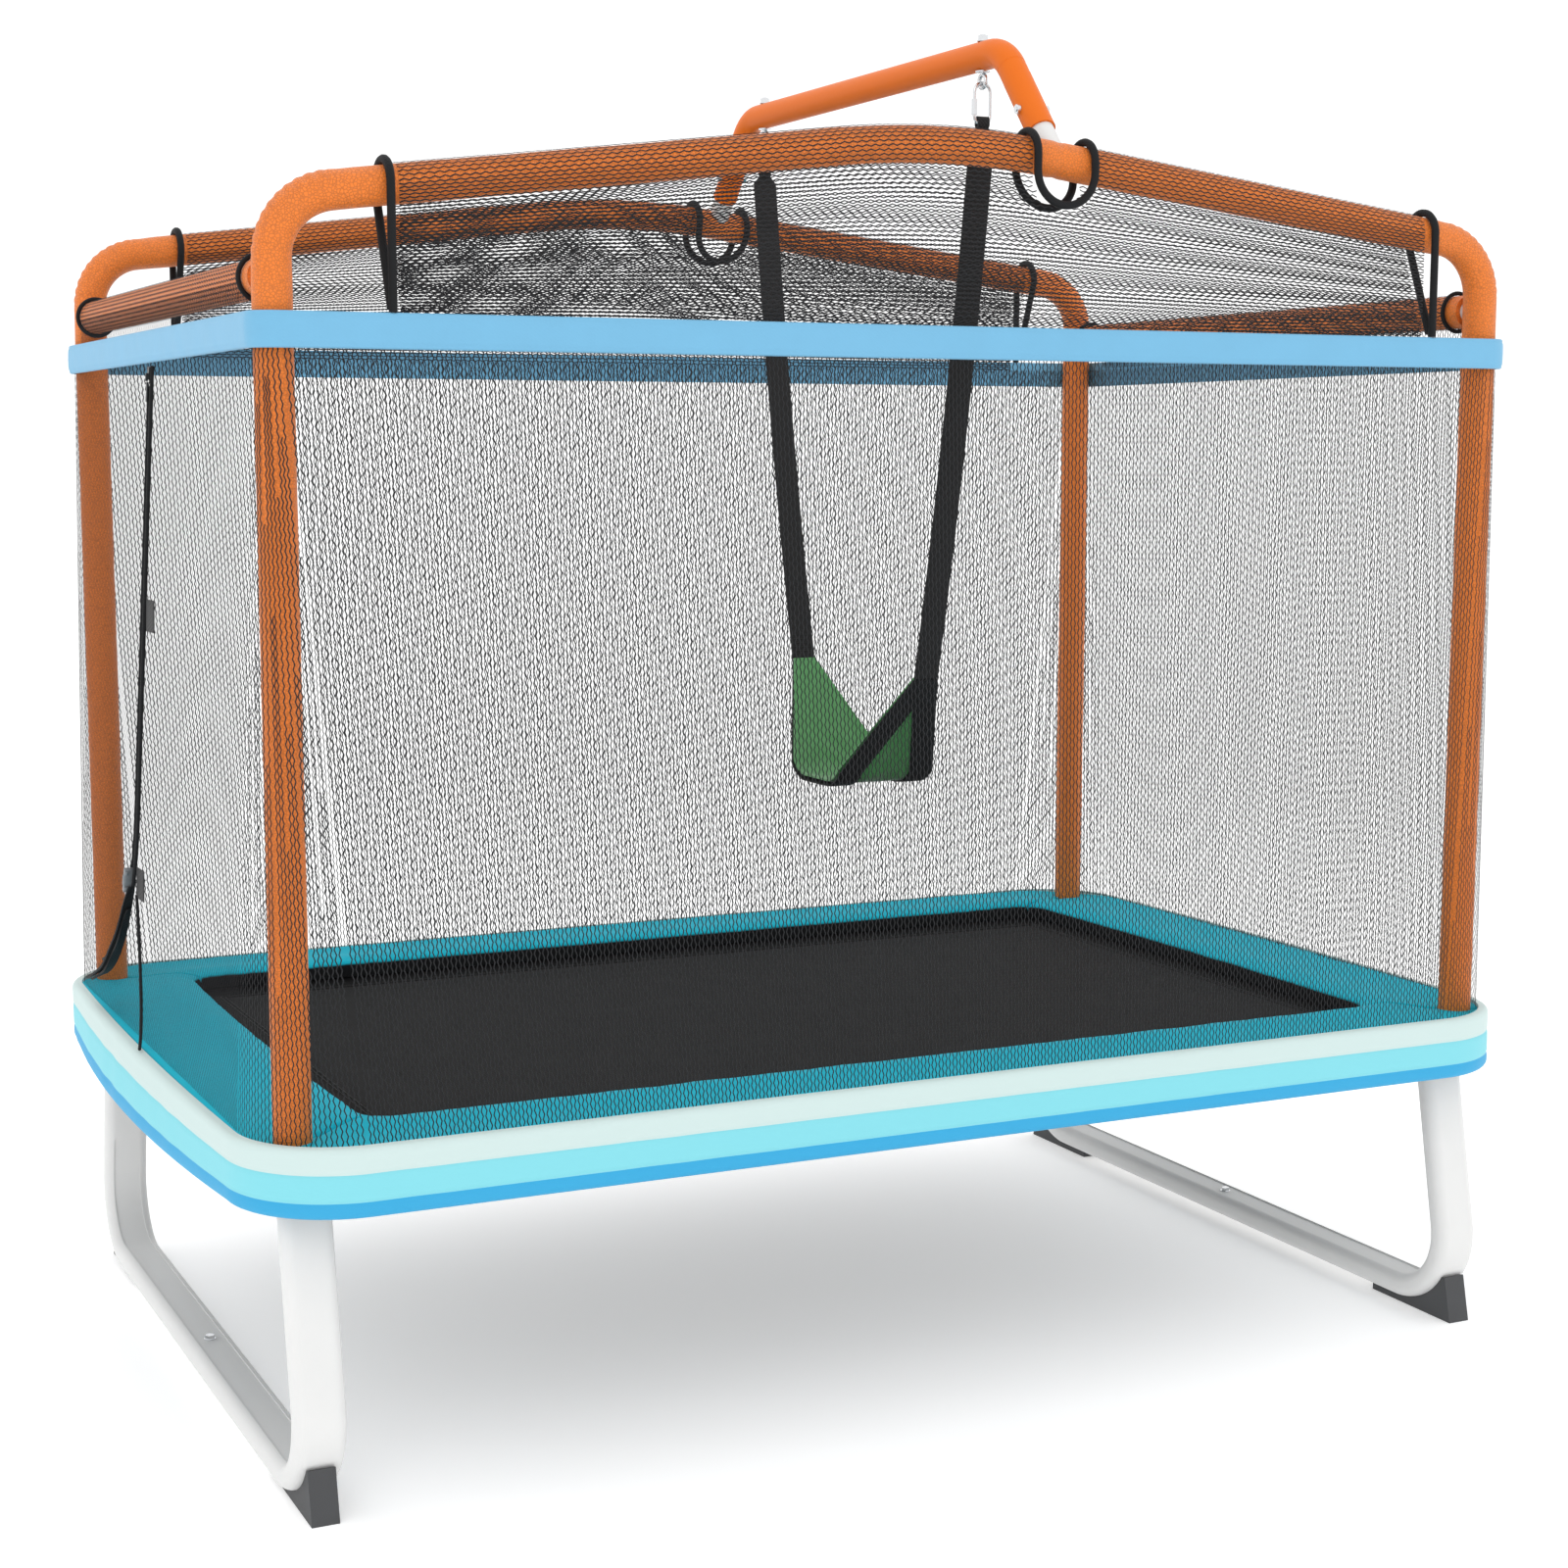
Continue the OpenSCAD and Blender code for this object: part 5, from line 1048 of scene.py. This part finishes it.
class TRAMPOLINE_OT_net(bpy.types.Operator):
    """Build the knitted panels, corners and sleeves of the enclosure"""
    bl_idname = "trampoline.net"
    bl_label = "Net"

    def execute(self, context):
        net = context.scene.trampoline_net
        self.pitch, self.stitch, self.wave, self.thread = net.pitch, net.stitch, net.wave, net.thread
        for sy, end in ENDS:
            self.long_side(sy, end)
            self.sleeve(sy, end)
        self.short_sides()
        self.corners()
        self.cross()
        return {"FINISHED"}

    def columns(self, half):
        """Where the columns of a side are, from -1 to 1, and their wave."""
        count = int(2 * half / self.pitch)
        return (np.arange(count) + 0.5) / count * 2 - 1, self.wave / half

    def rows(self, height):
        """Where the stitches of a side are, from below its foot to behind the band."""
        return np.arange(-NET_TUCK, height - BAND_TUCK, self.stitch)

    def long_side(self, sy, end):
        place, height = panel(True, sy)
        across, wave = self.columns(POST_X)
        up = self.rows(height)
        half = np.count_nonzero(across < 0)
        for side, part, first, nodes in (("left", across[:half], 0, [f"net_{end}"]),
                                         ("right", across[half:], half, [])):
            made = knit(f"net_{end}_{side}", place, part, up, wave, self.thread, first=first)
            declare_net(made, "frame", (POST_X * MM, height * MM), ["net_band"], *nodes)

    def short_sides(self):
        """The right side, and the left one with its door, where the two nets overlap a little
        at the zip's ends and leave room for its tapes."""
        across, wave = self.columns(POST_Y)
        door_top = ZIP_V0 - DOOR_DROP

        def fixed(points):
            off, v = zip_side(points)
            return (off < -2) | (v < ZIP_TIP_V + 3) | (v > door_top - 3)

        def door(points):
            off, v = zip_side(points)
            return (off > 2) & (v > ZIP_TIP_V - 3) & (v < door_top + 3)
        place, height = panel(False, 1)
        up = self.rows(height)
        made = knit("side_net_right", place, across, up, wave, self.thread)
        declare_net(made, "frame", (2 * POST_Y * MM, height * MM), ["net_band"], "net_right")
        place, height = panel(False, -1)
        made = knit("side_net_left", place, across, up, wave, self.thread, fixed)
        declare_net(made, "frame", (0.6, height * MM), ["net_band"], "net_left")
        made = knit("door_net", place, across, up, wave, self.thread, door)
        declare_net(made, "door", (0.45, 0.85), ["net_corners"], "door_panel")

    def corners(self):
        """Columns round each post, fewer towards the top so that their spacing stays even."""
        bits = 5
        index = np.arange(1, 2 ** bits)
        rank = sum(((index >> b) & 1) << (bits - 1 - b) for b in range(bits))[:, None]
        rise = self.rows(NET_H)
        length = math.pi / 2 * (NET_FOOT_R + (NET_OFF - NET_FOOT_R) * rise / NET_H)
        made = [knit("net_corner", corner_net(sx, sy), index / 2 ** bits, rise / NET_H,
                     self.wave / length, self.thread,
                     lambda points: rank < length / self.pitch, 1)
                for sx in (-1, 1) for sy in (-1, 1)]
        made = join(made, "corner_nets")
        declare_net(made, "frame", (0.46, NET_H * MM), ["net_band"], "net_corners")

    def sleeve(self, sy, end):
        layers = ((41, 225.0), (15, 82.0), (40, 215.0))
        across = np.concatenate([n + (np.arange(count) + 0.5) / count
                                 for n, (count, _) in enumerate(layers)])
        lengths = np.concatenate([np.full(count, length) for count, length in layers])
        made = knit(f"sleeve_net_{end}", over_rail(sy), across,
                    np.arange(SLEEVE_LEFT, SLEEVE_RIGHT, self.stitch),
                    (self.wave / lengths)[:, None], self.thread * 1.06, outside_notch)
        declare_net(made, "frame", (0.52, (SLEEVE_RIGHT - SLEEVE_LEFT) * MM),
                    [f"rail_foam_left_{end}"], f"net_sleeve_{end}")

    def cross(self):
        """Net round the cross rails, and the strip between them and the band."""
        reach = CROSS_RING_Y - 3.5
        rows = 26
        strip, wave = self.columns(CROSS_RING_Y)
        made = []
        for sx in (-1, 1):
            made.append(knit("cross_net", round_cross(sx), np.arange(rows) / rows,
                             np.arange(-reach, reach, self.stitch), self.wave / 150,
                             self.thread * 1.06))
            made.append(knit("cross_net", below_cross(sx), strip,
                             np.arange(BAND_TOP - 10, CROSS_Z, 5.0), wave, self.thread))
        made = join(made, "cross_net")
        declare_net(made, "frame", (0.36, 2 * reach * MM), ["cross_foam"], "cross_sleeves")


# ---------- band and bindings ----------

class TRAMPOLINE_OT_trim(bpy.types.Operator):
    """Build the blue band and the black bindings of the sleeves"""
    bl_idname = "trampoline.trim"
    bl_label = "Band and bindings"

    def execute(self, context):
        self.band()
        ends = [self.over(x, sy, BAND_TOP + GAP, BAND_TOP + GAP + 5)
                for sy in (-1, 1) for x in SLEEVE_ENDS]
        self.bind("sleeve", ends, BINDING_R, False, 16)
        self.bind("notch", [self.notch(sy) for sy in (-1, 1)], BINDING_R, True, 16)
        ring = arc((0, 0), CROSS_RING_R, 0, 2 * math.pi, 49)[:-1].T
        rings = [spots(sx * POST_X + ring[0], sy * CROSS_RING_Y, CROSS_Z + ring[1])
                 for sx in (-1, 1) for sy in (-1, 1)]
        self.bind("cross", rings, 3.0, True, 12)
        return {"FINISHED"}

    def bind(self, kind, lines, radius, cyclic, sides):
        """Rolled bindings along lines, as one piece."""
        made = [curve_tube("binding", line, radius, cyclic, sides) for line in lines]
        dress(join(made, f"{kind}_binding_tape"), "trim", "trim_black", "frame", f"{kind}_bindings")

    def band(self):
        path, out = rim_path(POST_X + BAND_OFF, POST_Y + BAND_OFF, BAND_OFF, 120, 14)
        length = run_length(path)[:, None]
        angle = np.linspace(-math.pi / 2, math.pi / 2, 19)
        height = BAND_H / 2 * np.sign(np.sin(angle)) * np.abs(np.sin(angle)) ** 0.55
        depth = BAND_T * np.cos(angle) ** 0.4
        z = BAND_MID + height
        close = np.clip(np.minimum(length, length[-1] - length) / 40, 0, 1)
        sway = 0.5 * wobble(length + 1.4 * z, 51, 6, 46) * close
        seam = 0.7 * np.exp(-((np.abs(height) - 16) / 1.3) ** 2)
        face = stand_off(path, out, depth + (sway - seam) * (depth > 4), z)
        inner = stand_off(path, out, 0, np.array([BAND_TOP - 6, BAND_MID, BAND_Z + 6]))
        made = looped("enclosure_band", np.concatenate([face, inner], 1), 60, True)
        dress(made, "band", "band_blue", "frame", "net_band")

    def over(self, x, sy, low_out, low_in):
        """Points of a binding over the rail at x, from its outer foot to its inner foot."""
        top, leave = float(rail_z(x)), float(leave_angle(x, WRAP_R))
        outer = spots(POST_Y + WRAP_R, np.linspace(low_out, top, 30)[:-1])
        bend = arc((POST_Y, top), WRAP_R, 0, math.pi + leave, 36)
        end = np.array([bend[-1, 0] + (bend[-1, 1] - low_in) * math.tan(leave), low_in])
        inner = bend[-1] + (end - bend[-1]) * np.linspace(0, 1, 30)[1:, None]
        return mirrored(spots(x, *coords(np.concatenate([outer, bend, inner]))), 1, sy)

    def notch(self, sy):
        """Points of the binding round a notch: its outer U, over the rail, its inner U, back."""
        radius = NOTCH_HALF - 5.5
        u_z = TEE_Z - (NOTCH_DEPTH - 5.5) + radius
        left = self.over(SWING_X - radius, sy, u_z, u_z)
        right = self.over(SWING_X + radius, sy, u_z, u_z)
        across, down = arc((0, 0), radius, 0, math.pi, 40)[1:-1].T
        slope = sy * math.tan(float(leave_angle(SWING_X, WRAP_R)))
        outer = spots(SWING_X - across, sy * (POST_Y + WRAP_R), u_z - down)
        inner = spots(SWING_X + across, left[-1, 1] + slope * down, u_z - down)
        return np.concatenate([outer, right, inner, left[::-1]])


# ---------- door and zip ----------

def zip_seat(d, off, lift, lean):
    """How a fitting made at the origin is turned and moved to its place on the zip."""
    return (Matrix.Translation(tuple(zip_place(d, off, lift) * MM))
            @ Matrix.Rotation(TILT_X, 4, "Y") @ Matrix.Rotation(lean, 4, "X"))


def block(name, size, bevel):
    """A bevelled block about the origin, its size in millimetres."""
    bpy.ops.object.select_all(action="DESELECT")
    bpy.ops.mesh.primitive_cube_add(size=1, location=(0, 0, 0))
    made = bpy.context.view_layer.objects.active
    made.name = name
    bpy.ops.object.mode_set(mode="EDIT")
    bpy.ops.mesh.select_all(action="SELECT")
    bpy.ops.transform.resize(value=tuple(length * MM for length in size))
    bpy.ops.mesh.bevel(offset=bevel * MM, segments=3)
    bpy.ops.object.mode_set(mode="OBJECT")
    return made


class TRAMPOLINE_OT_door(bpy.types.Operator):
    """Build the zip's tapes and coils, its pull and clip, and the flap with its patches"""
    bl_idname = "trampoline.door"
    bl_label = "Door and zip"

    def execute(self, context):
        d = np.concatenate([np.linspace(0, ZIP_STRAIGHT, 110)[:-1],
                            np.linspace(ZIP_STRAIGHT, ZIP_END, 110)])
        self.tape("fixed", d, -1, "frame", "zip_tape")
        self.tape("door", d[d >= DOOR_DROP], 1, "door", "door_tape")
        self.patches()
        self.flap()
        self.tail()
        self.slider()
        self.clip()
        return {"FINISHED"}

    def tape(self, name, d, side, body, node):
        """A tape along the zip with its rolled outer edge, and its half of the coil."""
        edges = sorted((GAP * side, TAPE_W * side))
        offs = np.linspace(*edges, 7)
        edge = np.minimum(offs - edges[0], edges[1] - offs)
        cloth = slab("cloth", np.stack([zip_place(d, off, 1.4) for off in offs], 1), LEFT_OUT,
                     1.5 * np.clip(0.45 + edge / 2, 0, 1))
        smooth(cloth, 50)
        roll = curve_tube("roll", zip_place(d, side * (TAPE_W - 1.6), 3.0), 2.7)
        dress(join([cloth, roll], f"zip_tape_{name}"), "trim", "trim_black", body, node)
        dress(self.coil(f"zip_coil_{name}", d, side * 1.9), "webbing", "trim_black", body)

    def coil(self, name, d, off):
        """One side of the zip's coil: a cord with a bead at each turn."""
        step = 3.0
        d = np.arange(d[0], d[-1], step / 4)
        line = zip_place(d, off, 2.5)[:, None]
        side = np.cross(headings(line[:, 0]), LEFT_OUT)[:, None]
        angle = np.linspace(0, 2 * math.pi, 7)[:-1, None]
        size = 1.6 * (0.72 + 0.28 * np.abs(np.cos(d * math.pi / step)))[:, None, None]
        rings = line + size * (side * np.cos(angle) * 1.25 + LEFT_OUT * np.sin(angle))
        base = (len(d) - 1) * 6
        caps = [[0, 1, 2, 3], [0, 3, 4, 5], [base, base + 3, base + 2, base + 1],
                [base, base + 5, base + 4, base + 3]]
        return solid(name, rings, np.concatenate([grid_quads(len(d), 6, False, True), caps]))

    def patches(self):
        """Hook-and-loop patches that hold the zip's flap down."""
        made = []
        line_y, line_v = coords(zip_point(np.linspace(0, ZIP_LEN, 800), -TAPE_W - GAP)[::-1])
        for drop in PATCH_DROPS:
            top = ZIP_V0 - drop + PATCH_H / 2
            right = float(np.interp(top, line_v, line_y))
            y, v = np.meshgrid(np.linspace(right - PATCH_W, right, 15),
                               np.linspace(top - PATCH_H, top, 13))
            edge = np.minimum(np.minimum(y - right + PATCH_W, right - y),
                              np.minimum(v - top + PATCH_H, top - v))
            made.append(slab("patch", left_point(y, v, NET_T / 2 + 1.0), LEFT_OUT,
                             1.0 + 0.8 * np.clip(edge / 3, 0, 1)))
        made = join(made, "door_patches", 50)
        dress(made, "webbing", "trim_black", "frame", "door_straps")

    def flap(self):
        """The doubled flap that stands out along the zip's curve."""
        layers = []
        for start, end, full, away in ((CLIP_D + 6, ZIP_END + 3, 27.0, 0.0),
                                       (CLIP_D + 40, ZIP_END + 7, 20.0, 5.0)):
            d, w = np.meshgrid(np.linspace(start, end, 90), np.linspace(0, 1, 9), indexing="ij")
            run = (d - start) / (end - start)
            width = (7 + (full - 7) * np.sqrt(run)) * w
            curl = 1.2 * np.sin(run * 17) * w ** 2
            middle = zip_place(d, 0.5 - TAPE_W - away - 0.3 * width + curl, 2.6 + 0.9 * width)
            edge = np.clip(0.7 + 0.8 * np.exp(-((1 - w) * 4) ** 2), 0, 1.5)
            layers.append(slab("flap", middle, grid_normals(middle), 1.9 * edge))
        made = join(layers, "zip_flap", 50)
        dress(made, "trim", "trim_black", "frame")

    def tail(self):
        """The tape from the zip's clip straight down to the net's foot."""
        t = np.linspace(0, 1, 50)[:, None]
        start, bend = left_point(84.0, 190.0, 2.6), left_point(40.0, 30.0, 2.6)
        line = (1 - t) ** 2 * start + 2 * t * (1 - t) * bend + t ** 2 * np.array(TAIL_FOOT)
        line[:, 1] += 0.4 * wobble(t[:, 0] * 190, 71, 4, 50)
        dress(curve_tube("zip_tail_tape", line, 2.2), "trim", "trim_black", "frame")

    def clip(self):
        """The clip that holds the zip's lower slider, with its two cross bars."""
        turn = zip_seat(CLIP_D, -1.0, 9.0, ZIP_LEAN + 0.15)
        parts = []
        for size, shift in (((13, 8, 34), (0, 0, 0)), ((5, 12, 5), (-3, 0, 12)),
                            ((5, 12, 5), (-3, 0, -11)), ((2.5, 5, 15), (-6.4, 0, 0))):
            part = block("clip", size, 1.0)
            part.data.transform(turn @ Matrix.Translation(Vector(shift) * MM))
            parts.append(part)
        made = join(parts, "zip_clip", 40)
        dress(made, "clip", "zip_metal", "frame")

    def slider(self):
        """The pull that hangs from the zip's slider."""
        pull = block("zip_pull", (6, 2, 26), 0.7)
        pull.data.transform(zip_seat(PULL_D, 0.0, 7.2, ZIP_LEAN)
                            @ Matrix.Rotation(math.pi / 2, 4, "Z"))
        smooth(pull, 40)
        dress(pull, "slider", "zip_metal", "zip_slider")


# ---------- swing ----------

SIDE_LEAN = math.atan2(SEAT_END_Y - SEAT_HALF_Y, SEAT_TOP - SEAT_Z)
SIDE_LEN = math.hypot(SEAT_END_Y - SEAT_HALF_Y, SEAT_TOP - SEAT_Z)
FILLET_TAN = SEAT_FILLET * math.tan((math.pi / 2 - SIDE_LEAN) / 2)
SEAT_RUN = SIDE_LEN - FILLET_TAN
SEAT_ARC = SEAT_FILLET * (math.pi / 2 - SIDE_LEAN)
SEAT_FLAT = SEAT_HALF_Y - FILLET_TAN
SEAT_HALF = SEAT_RUN + SEAT_ARC + SEAT_FLAT
WEB_OFF = SEAT_T / 2 + GAP + WEB_T / 2
SEAT_MID_Z = SEAT_Z + WEB_OFF + WEB_T / 2


def seat_point(s, off=0.0):
    """A point of the seat's line, s from -1 to 1 along it, off below it, as Y and Z; and the
    direction outwards there."""
    d = np.abs(s) * SEAT_HALF
    turn = np.clip((d - SEAT_FLAT) / SEAT_FILLET, 0, math.pi / 2 - SIDE_LEAN)
    out_y, out_z = np.sin(turn), -np.cos(turn)
    rest = np.clip(d - SEAT_FLAT - SEAT_ARC, 0, None)
    y = np.minimum(d, SEAT_FLAT) + (SEAT_FILLET + off) * out_y + rest * math.sin(SIDE_LEAN)
    z = SEAT_MID_Z + SEAT_FILLET + (SEAT_FILLET + off) * out_z + rest * math.cos(SIDE_LEAN)
    sign = np.where(s < 0, -1.0, 1.0)
    return spots(sign * y, z), spots(sign * out_y, out_z)


def seat_width(s):
    """Half of the seat's width at s along it."""
    rest = np.clip(np.abs(s) * SEAT_HALF - SEAT_FLAT - SEAT_ARC, 0, None)
    return SEAT_HALF_X + (WEB_W / 2 - SEAT_HALF_X) * rest / SEAT_RUN


def seat_grid(rows, cols):
    """Grids of s along the seat and t across it, both from -1 to 1."""
    return np.meshgrid(np.linspace(-1, 1, rows), np.linspace(-1, 1, cols), indexing="ij")


def web_thickness(t):
    """Thickness of the webbing, thinner at its edges, with t from -1 to 1 across it."""
    return WEB_T * np.clip(0.5 + 2.2 * (1 - np.abs(t)), 0, 1)


def strap_line():
    """The middle of a strap from the seat's end up to its loop, as Y and Z."""
    foot = seat_point(1.0, WEB_OFF)[0] + [0, WEB_T / 2 * math.sin(SIDE_LEAN) + GAP]
    t = np.linspace(0, 1, 120)
    y, z = foot[:, None] + t * (np.array([EYE_Y, STRAP_Z1]) - foot)[:, None]
    return spots(y + 36 * t * (1 - t), z)


class TRAMPOLINE_OT_swing(bpy.types.Operator):
    """Build the sling seat, its webbing and the straps"""
    bl_idname = "trampoline.swing"
    bl_label = "Swing"

    def execute(self, context):
        self.seat(context.scene.trampoline_swing.sag)
        self.webbing()
        self.straps()
        self.stitches()
        return {"FINISHED"}

    def seat(self, sag):
        s, t = seat_grid(131, 41)
        w = seat_width(s)
        lift = 5 * (w - WEB_W / 2) / (SEAT_HALF_X - WEB_W / 2)
        point, out = seat_point(s)
        free = np.clip((w - 30) / 40, 0, 1) * (1 - t ** 4)
        fold = free * (sag * 0.5 * np.sin(t * 9 + 2.2 * np.sin(s * 5)) * np.abs(s) ** 1.2
                       + 0.7 * np.sin(s * 34 + 3 * np.sin(t * 4))
                       * np.exp(-((np.abs(s) - 0.36) / 0.22) ** 2))
        depth = (fold - lift * t ** 4)[..., None]
        grid = spots(SWING_X + t * (w - 1.0), *coords(point + out * depth))
        made = slab("swing_seat", grid, grid_normals(grid), SEAT_T - 0.6)
        smooth(made, 60)
        dress(made, "seat", "seat_green", "swing", "seat_sling")

    def webbing(self):
        pieces = []
        for side in (-1, 1):
            s, t = seat_grid(141, 9)
            point, out = seat_point(s, WEB_OFF)
            wave = 0.25 * np.sin(s * 60 + side)[..., None]
            grid = spots(SWING_X + side * (seat_width(s) - WEB_W / 2) + t * WEB_W / 2,
                         *coords(point + out * wave))
            pieces.append(slab("web", grid, spots(0, *coords(out)), web_thickness(t)))
        made = join(pieces, "seat_edge_webbing", 50)
        dress(made, "webbing", "webbing_black", "swing", "seat_webbing")

    def straps(self):
        """Each strap, cupped a little, narrowing into a loop round its quick link."""
        pieces = []
        line = strap_line()
        full = np.concatenate([line, spots(EYE_Y, np.linspace(STRAP_Z1, LINK_Z0 - 3.4, 10)[1:])])
        width, cup = (np.concatenate([np.full(len(line), low), np.linspace(low, high, 10)[1:]])[:, None]
                      for low, high in ((WEB_W / 2, LOOP_HALF), (0.4, 1.6)))
        run = headings(full)
        normal = spots(run[:, 1], -run[:, 0])
        t = np.linspace(-1, 1, 9)
        angle = np.linspace(0, 2 * math.pi, 41)[:-1, None]
        loop_y = EYE_Y + LOOP_R * np.cos(angle)
        loop_z = LINK_Z0 + LOOP_R * np.sin(angle) + np.where(np.sin(angle) > 0, 5.0, 0.0)
        for sy in (-1, 1):
            grid = mirrored(stand_off(full, normal, cup * (1 - t ** 2), SWING_X + width * t)
                            [..., [2, 0, 1]], 1, sy)
            pieces.append(slab("strap", grid, spots(0, sy * normal[:, :1], normal[:, 1:]),
                               web_thickness(t)))
            ring = spots(SWING_X + np.linspace(-LOOP_HALF, LOOP_HALF, 7), sy * loop_y, loop_z)
            pieces.append(slab("loop", ring, spots(0, sy * np.cos(angle), np.sin(angle)), WEB_T,
                               wrap=True))
        made = join(pieces, "swing_straps", 50)
        dress(made, "webbing", "webbing_black", "swing", "seat_straps")

    def stitches(self):
        """Rows of thread where the straps meet the seat's webbing, and below their loops."""
        pieces = []
        line = strap_line()
        x = SWING_X + np.linspace(-14, 14, 9)
        for sy in (-1, 1):
            for k in (*range(2, 7), *range(108, 113)):
                run = line[k + 1] - line[k]
                run /= np.linalg.norm(run)
                for face in (-1, 1):
                    y, z = line[k] + face * 1.35 * np.array([run[1], -run[0]])
                    pieces.append(curve_tube("stitch", spots(x, sy * y, z), 0.45, False, 4))
        dress(join(pieces, "strap_stitching"), "thread", "webbing_black", "swing")


# ---------- carried-over metal ----------

FINISHES = {
    "zinc_tube": ("frame_rails", "frame_corners", "leg_joiners"),
    "white_coat": ("leg_left_front", "leg_left_back", "leg_right_front", "leg_right_back",
                   "posts", "top_rails", "cross_rails", "swing_tee_front", "swing_tee_back"),
    "orange_coat": ("swing_bar", "swing_upright_front", "swing_upright_back"),
    "rubber": ("feet",),
    "plated": ("leg_bolts", "swing_bolts", "eye_bolts", "quick_links", "mat_rings"),
    "slider": ("zip_slider",),
}


class TRAMPOLINE_OT_metal(bpy.types.Operator):
    """Give the tubes, legs, feet and fasteners their finishes"""
    bl_idname = "trampoline.metal"
    bl_label = "Metal and rubber"

    def execute(self, context):
        for finish, nodes in FINISHES.items():
            for node in nodes:
                coat(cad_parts[node], finish)
        return {"FINISHED"}


# ---------- stage ----------

class TRAMPOLINE_OT_stage(bpy.types.Operator):
    """Lay the floor, and place the lights and the camera"""
    bl_idname = "trampoline.stage"
    bl_label = "Floor, light and camera"

    def execute(self, context):
        settings = context.scene.trampoline_stage
        scene = context.scene
        bpy.ops.object.select_all(action="DESELECT")
        bpy.ops.mesh.primitive_plane_add(size=60, location=(0, 0, 0))
        floor = context.view_layer.objects.active
        floor.name = "floor"
        m, tree, surface, place = start_material("pale_studio_floor")
        surface.inputs["Base Color"].default_value = settings.floor
        surface.inputs["Roughness"].default_value = 0.9
        # Painted light: the floor glows, most near the trampoline to wash out the shade under it, and
        # less far away
        surface.inputs["Emission Color"].default_value = (1, 1, 1, 1)
        reach = add_node(tree, "ShaderNodeVectorMath", {0: place}, operation="LENGTH")
        painted_floor_light = add_node(tree, "ShaderNodeMapRange",
                        {"Value": reach.outputs["Value"], "From Min": 1500.0, "From Max": 6000.0,
                         "To Min": 0.31, "To Max": 0.09})
        tree.links.new(painted_floor_light.outputs["Result"], surface.inputs["Emission Strength"])
        floor.data.materials.append(m)

        world = bpy.data.worlds.new("soft_white_room")
        world.use_nodes = True
        back = world.node_tree.nodes["Background"]
        back.inputs["Color"].default_value = (1, 1, 1, 1)
        back.inputs["Strength"].default_value = 1.15
        scene.world = world
        for name, place, aim, size, power in (
                ("key", (-3.2, -4.2, 4.6), (0, 0, 0.8), 3.0, 25),
                ("fill", (4.5, -3.0, 3.0), (0, 0, 0.7), 3.5, 10),
                ("top", (0.0, 1.0, 5.5), (0, 0, 0.5), 4.0, 8)):
            light = bpy.data.lights.new(name, "AREA")
            light.shape, light.size, light.energy = "DISK", size, power
            lamp = bpy.data.objects.new(name, light)
            lamp.location = place
            gaze = Vector(aim) - Vector(place)
            lamp.rotation_euler = gaze.to_track_quat("-Z", "Y").to_euler()
            scene.collection.objects.link(lamp)

        data = bpy.data.cameras.new("camera")
        data.sensor_width, data.lens = 36, settings.lens
        data.shift_x, data.shift_y = 0.0182, 0.0066
        data.clip_end = 200
        camera = bpy.data.objects.new("camera", data)
        camera.location = (-1.5962, -3.3696, 1.2388)
        dip, turn = 0.132, -0.439
        camera.rotation_euler = (math.pi / 2 - dip, 0, turn)
        scene.collection.objects.link(camera)
        scene.camera = camera
        scene.view_settings.view_transform = "Standard"
        return {"FINISHED"}


class TRAMPOLINE_PT_panel(bpy.types.Panel):
    """Sizes and colours, and the steps that build the trampoline"""
    bl_idname = "TRAMPOLINE_PT_panel"
    bl_label = "Trampoline"
    bl_space_type = "VIEW_3D"
    bl_region_type = "UI"
    bl_category = "Trampoline"

    def draw(self, context):
        for key, group in GROUPS.items():
            column = self.layout.column()
            column.label(text=group.__doc__)
            for name in group.__annotations__:
                column.prop(getattr(context.scene, key), name)
        for step in STEPS:
            self.layout.operator(step.bl_idname)


GROUPS = {
    "trampoline_foam": TRAMPOLINE_PG_foam,
    "trampoline_rim": TRAMPOLINE_PG_rim,
    "trampoline_mat": TRAMPOLINE_PG_mat,
    "trampoline_net": TRAMPOLINE_PG_net,
    "trampoline_swing": TRAMPOLINE_PG_swing,
    "trampoline_metal": TRAMPOLINE_PG_metal,
    "trampoline_stage": TRAMPOLINE_PG_stage,
}
STEPS = (TRAMPOLINE_OT_metal, TRAMPOLINE_OT_foam, TRAMPOLINE_OT_rim, TRAMPOLINE_OT_mat,
         TRAMPOLINE_OT_net, TRAMPOLINE_OT_trim, TRAMPOLINE_OT_door, TRAMPOLINE_OT_swing,
         TRAMPOLINE_OT_stage)


def register():
    for cls in (*GROUPS.values(), *STEPS, TRAMPOLINE_PT_panel):
        bpy.utils.register_class(cls)
    for key, group in GROUPS.items():
        setattr(bpy.types.Scene, key, bpy.props.PointerProperty(type=group))


def unregister():
    for key in GROUPS:
        delattr(bpy.types.Scene, key)
    for cls in (TRAMPOLINE_PT_panel, *reversed(STEPS), *reversed(list(GROUPS.values()))):
        bpy.utils.unregister_class(cls)


def main():
    register()
    for step in STEPS:
        getattr(bpy.ops.trampoline, step.bl_idname.split(".")[1])()


if __name__ == "__main__":
    main()
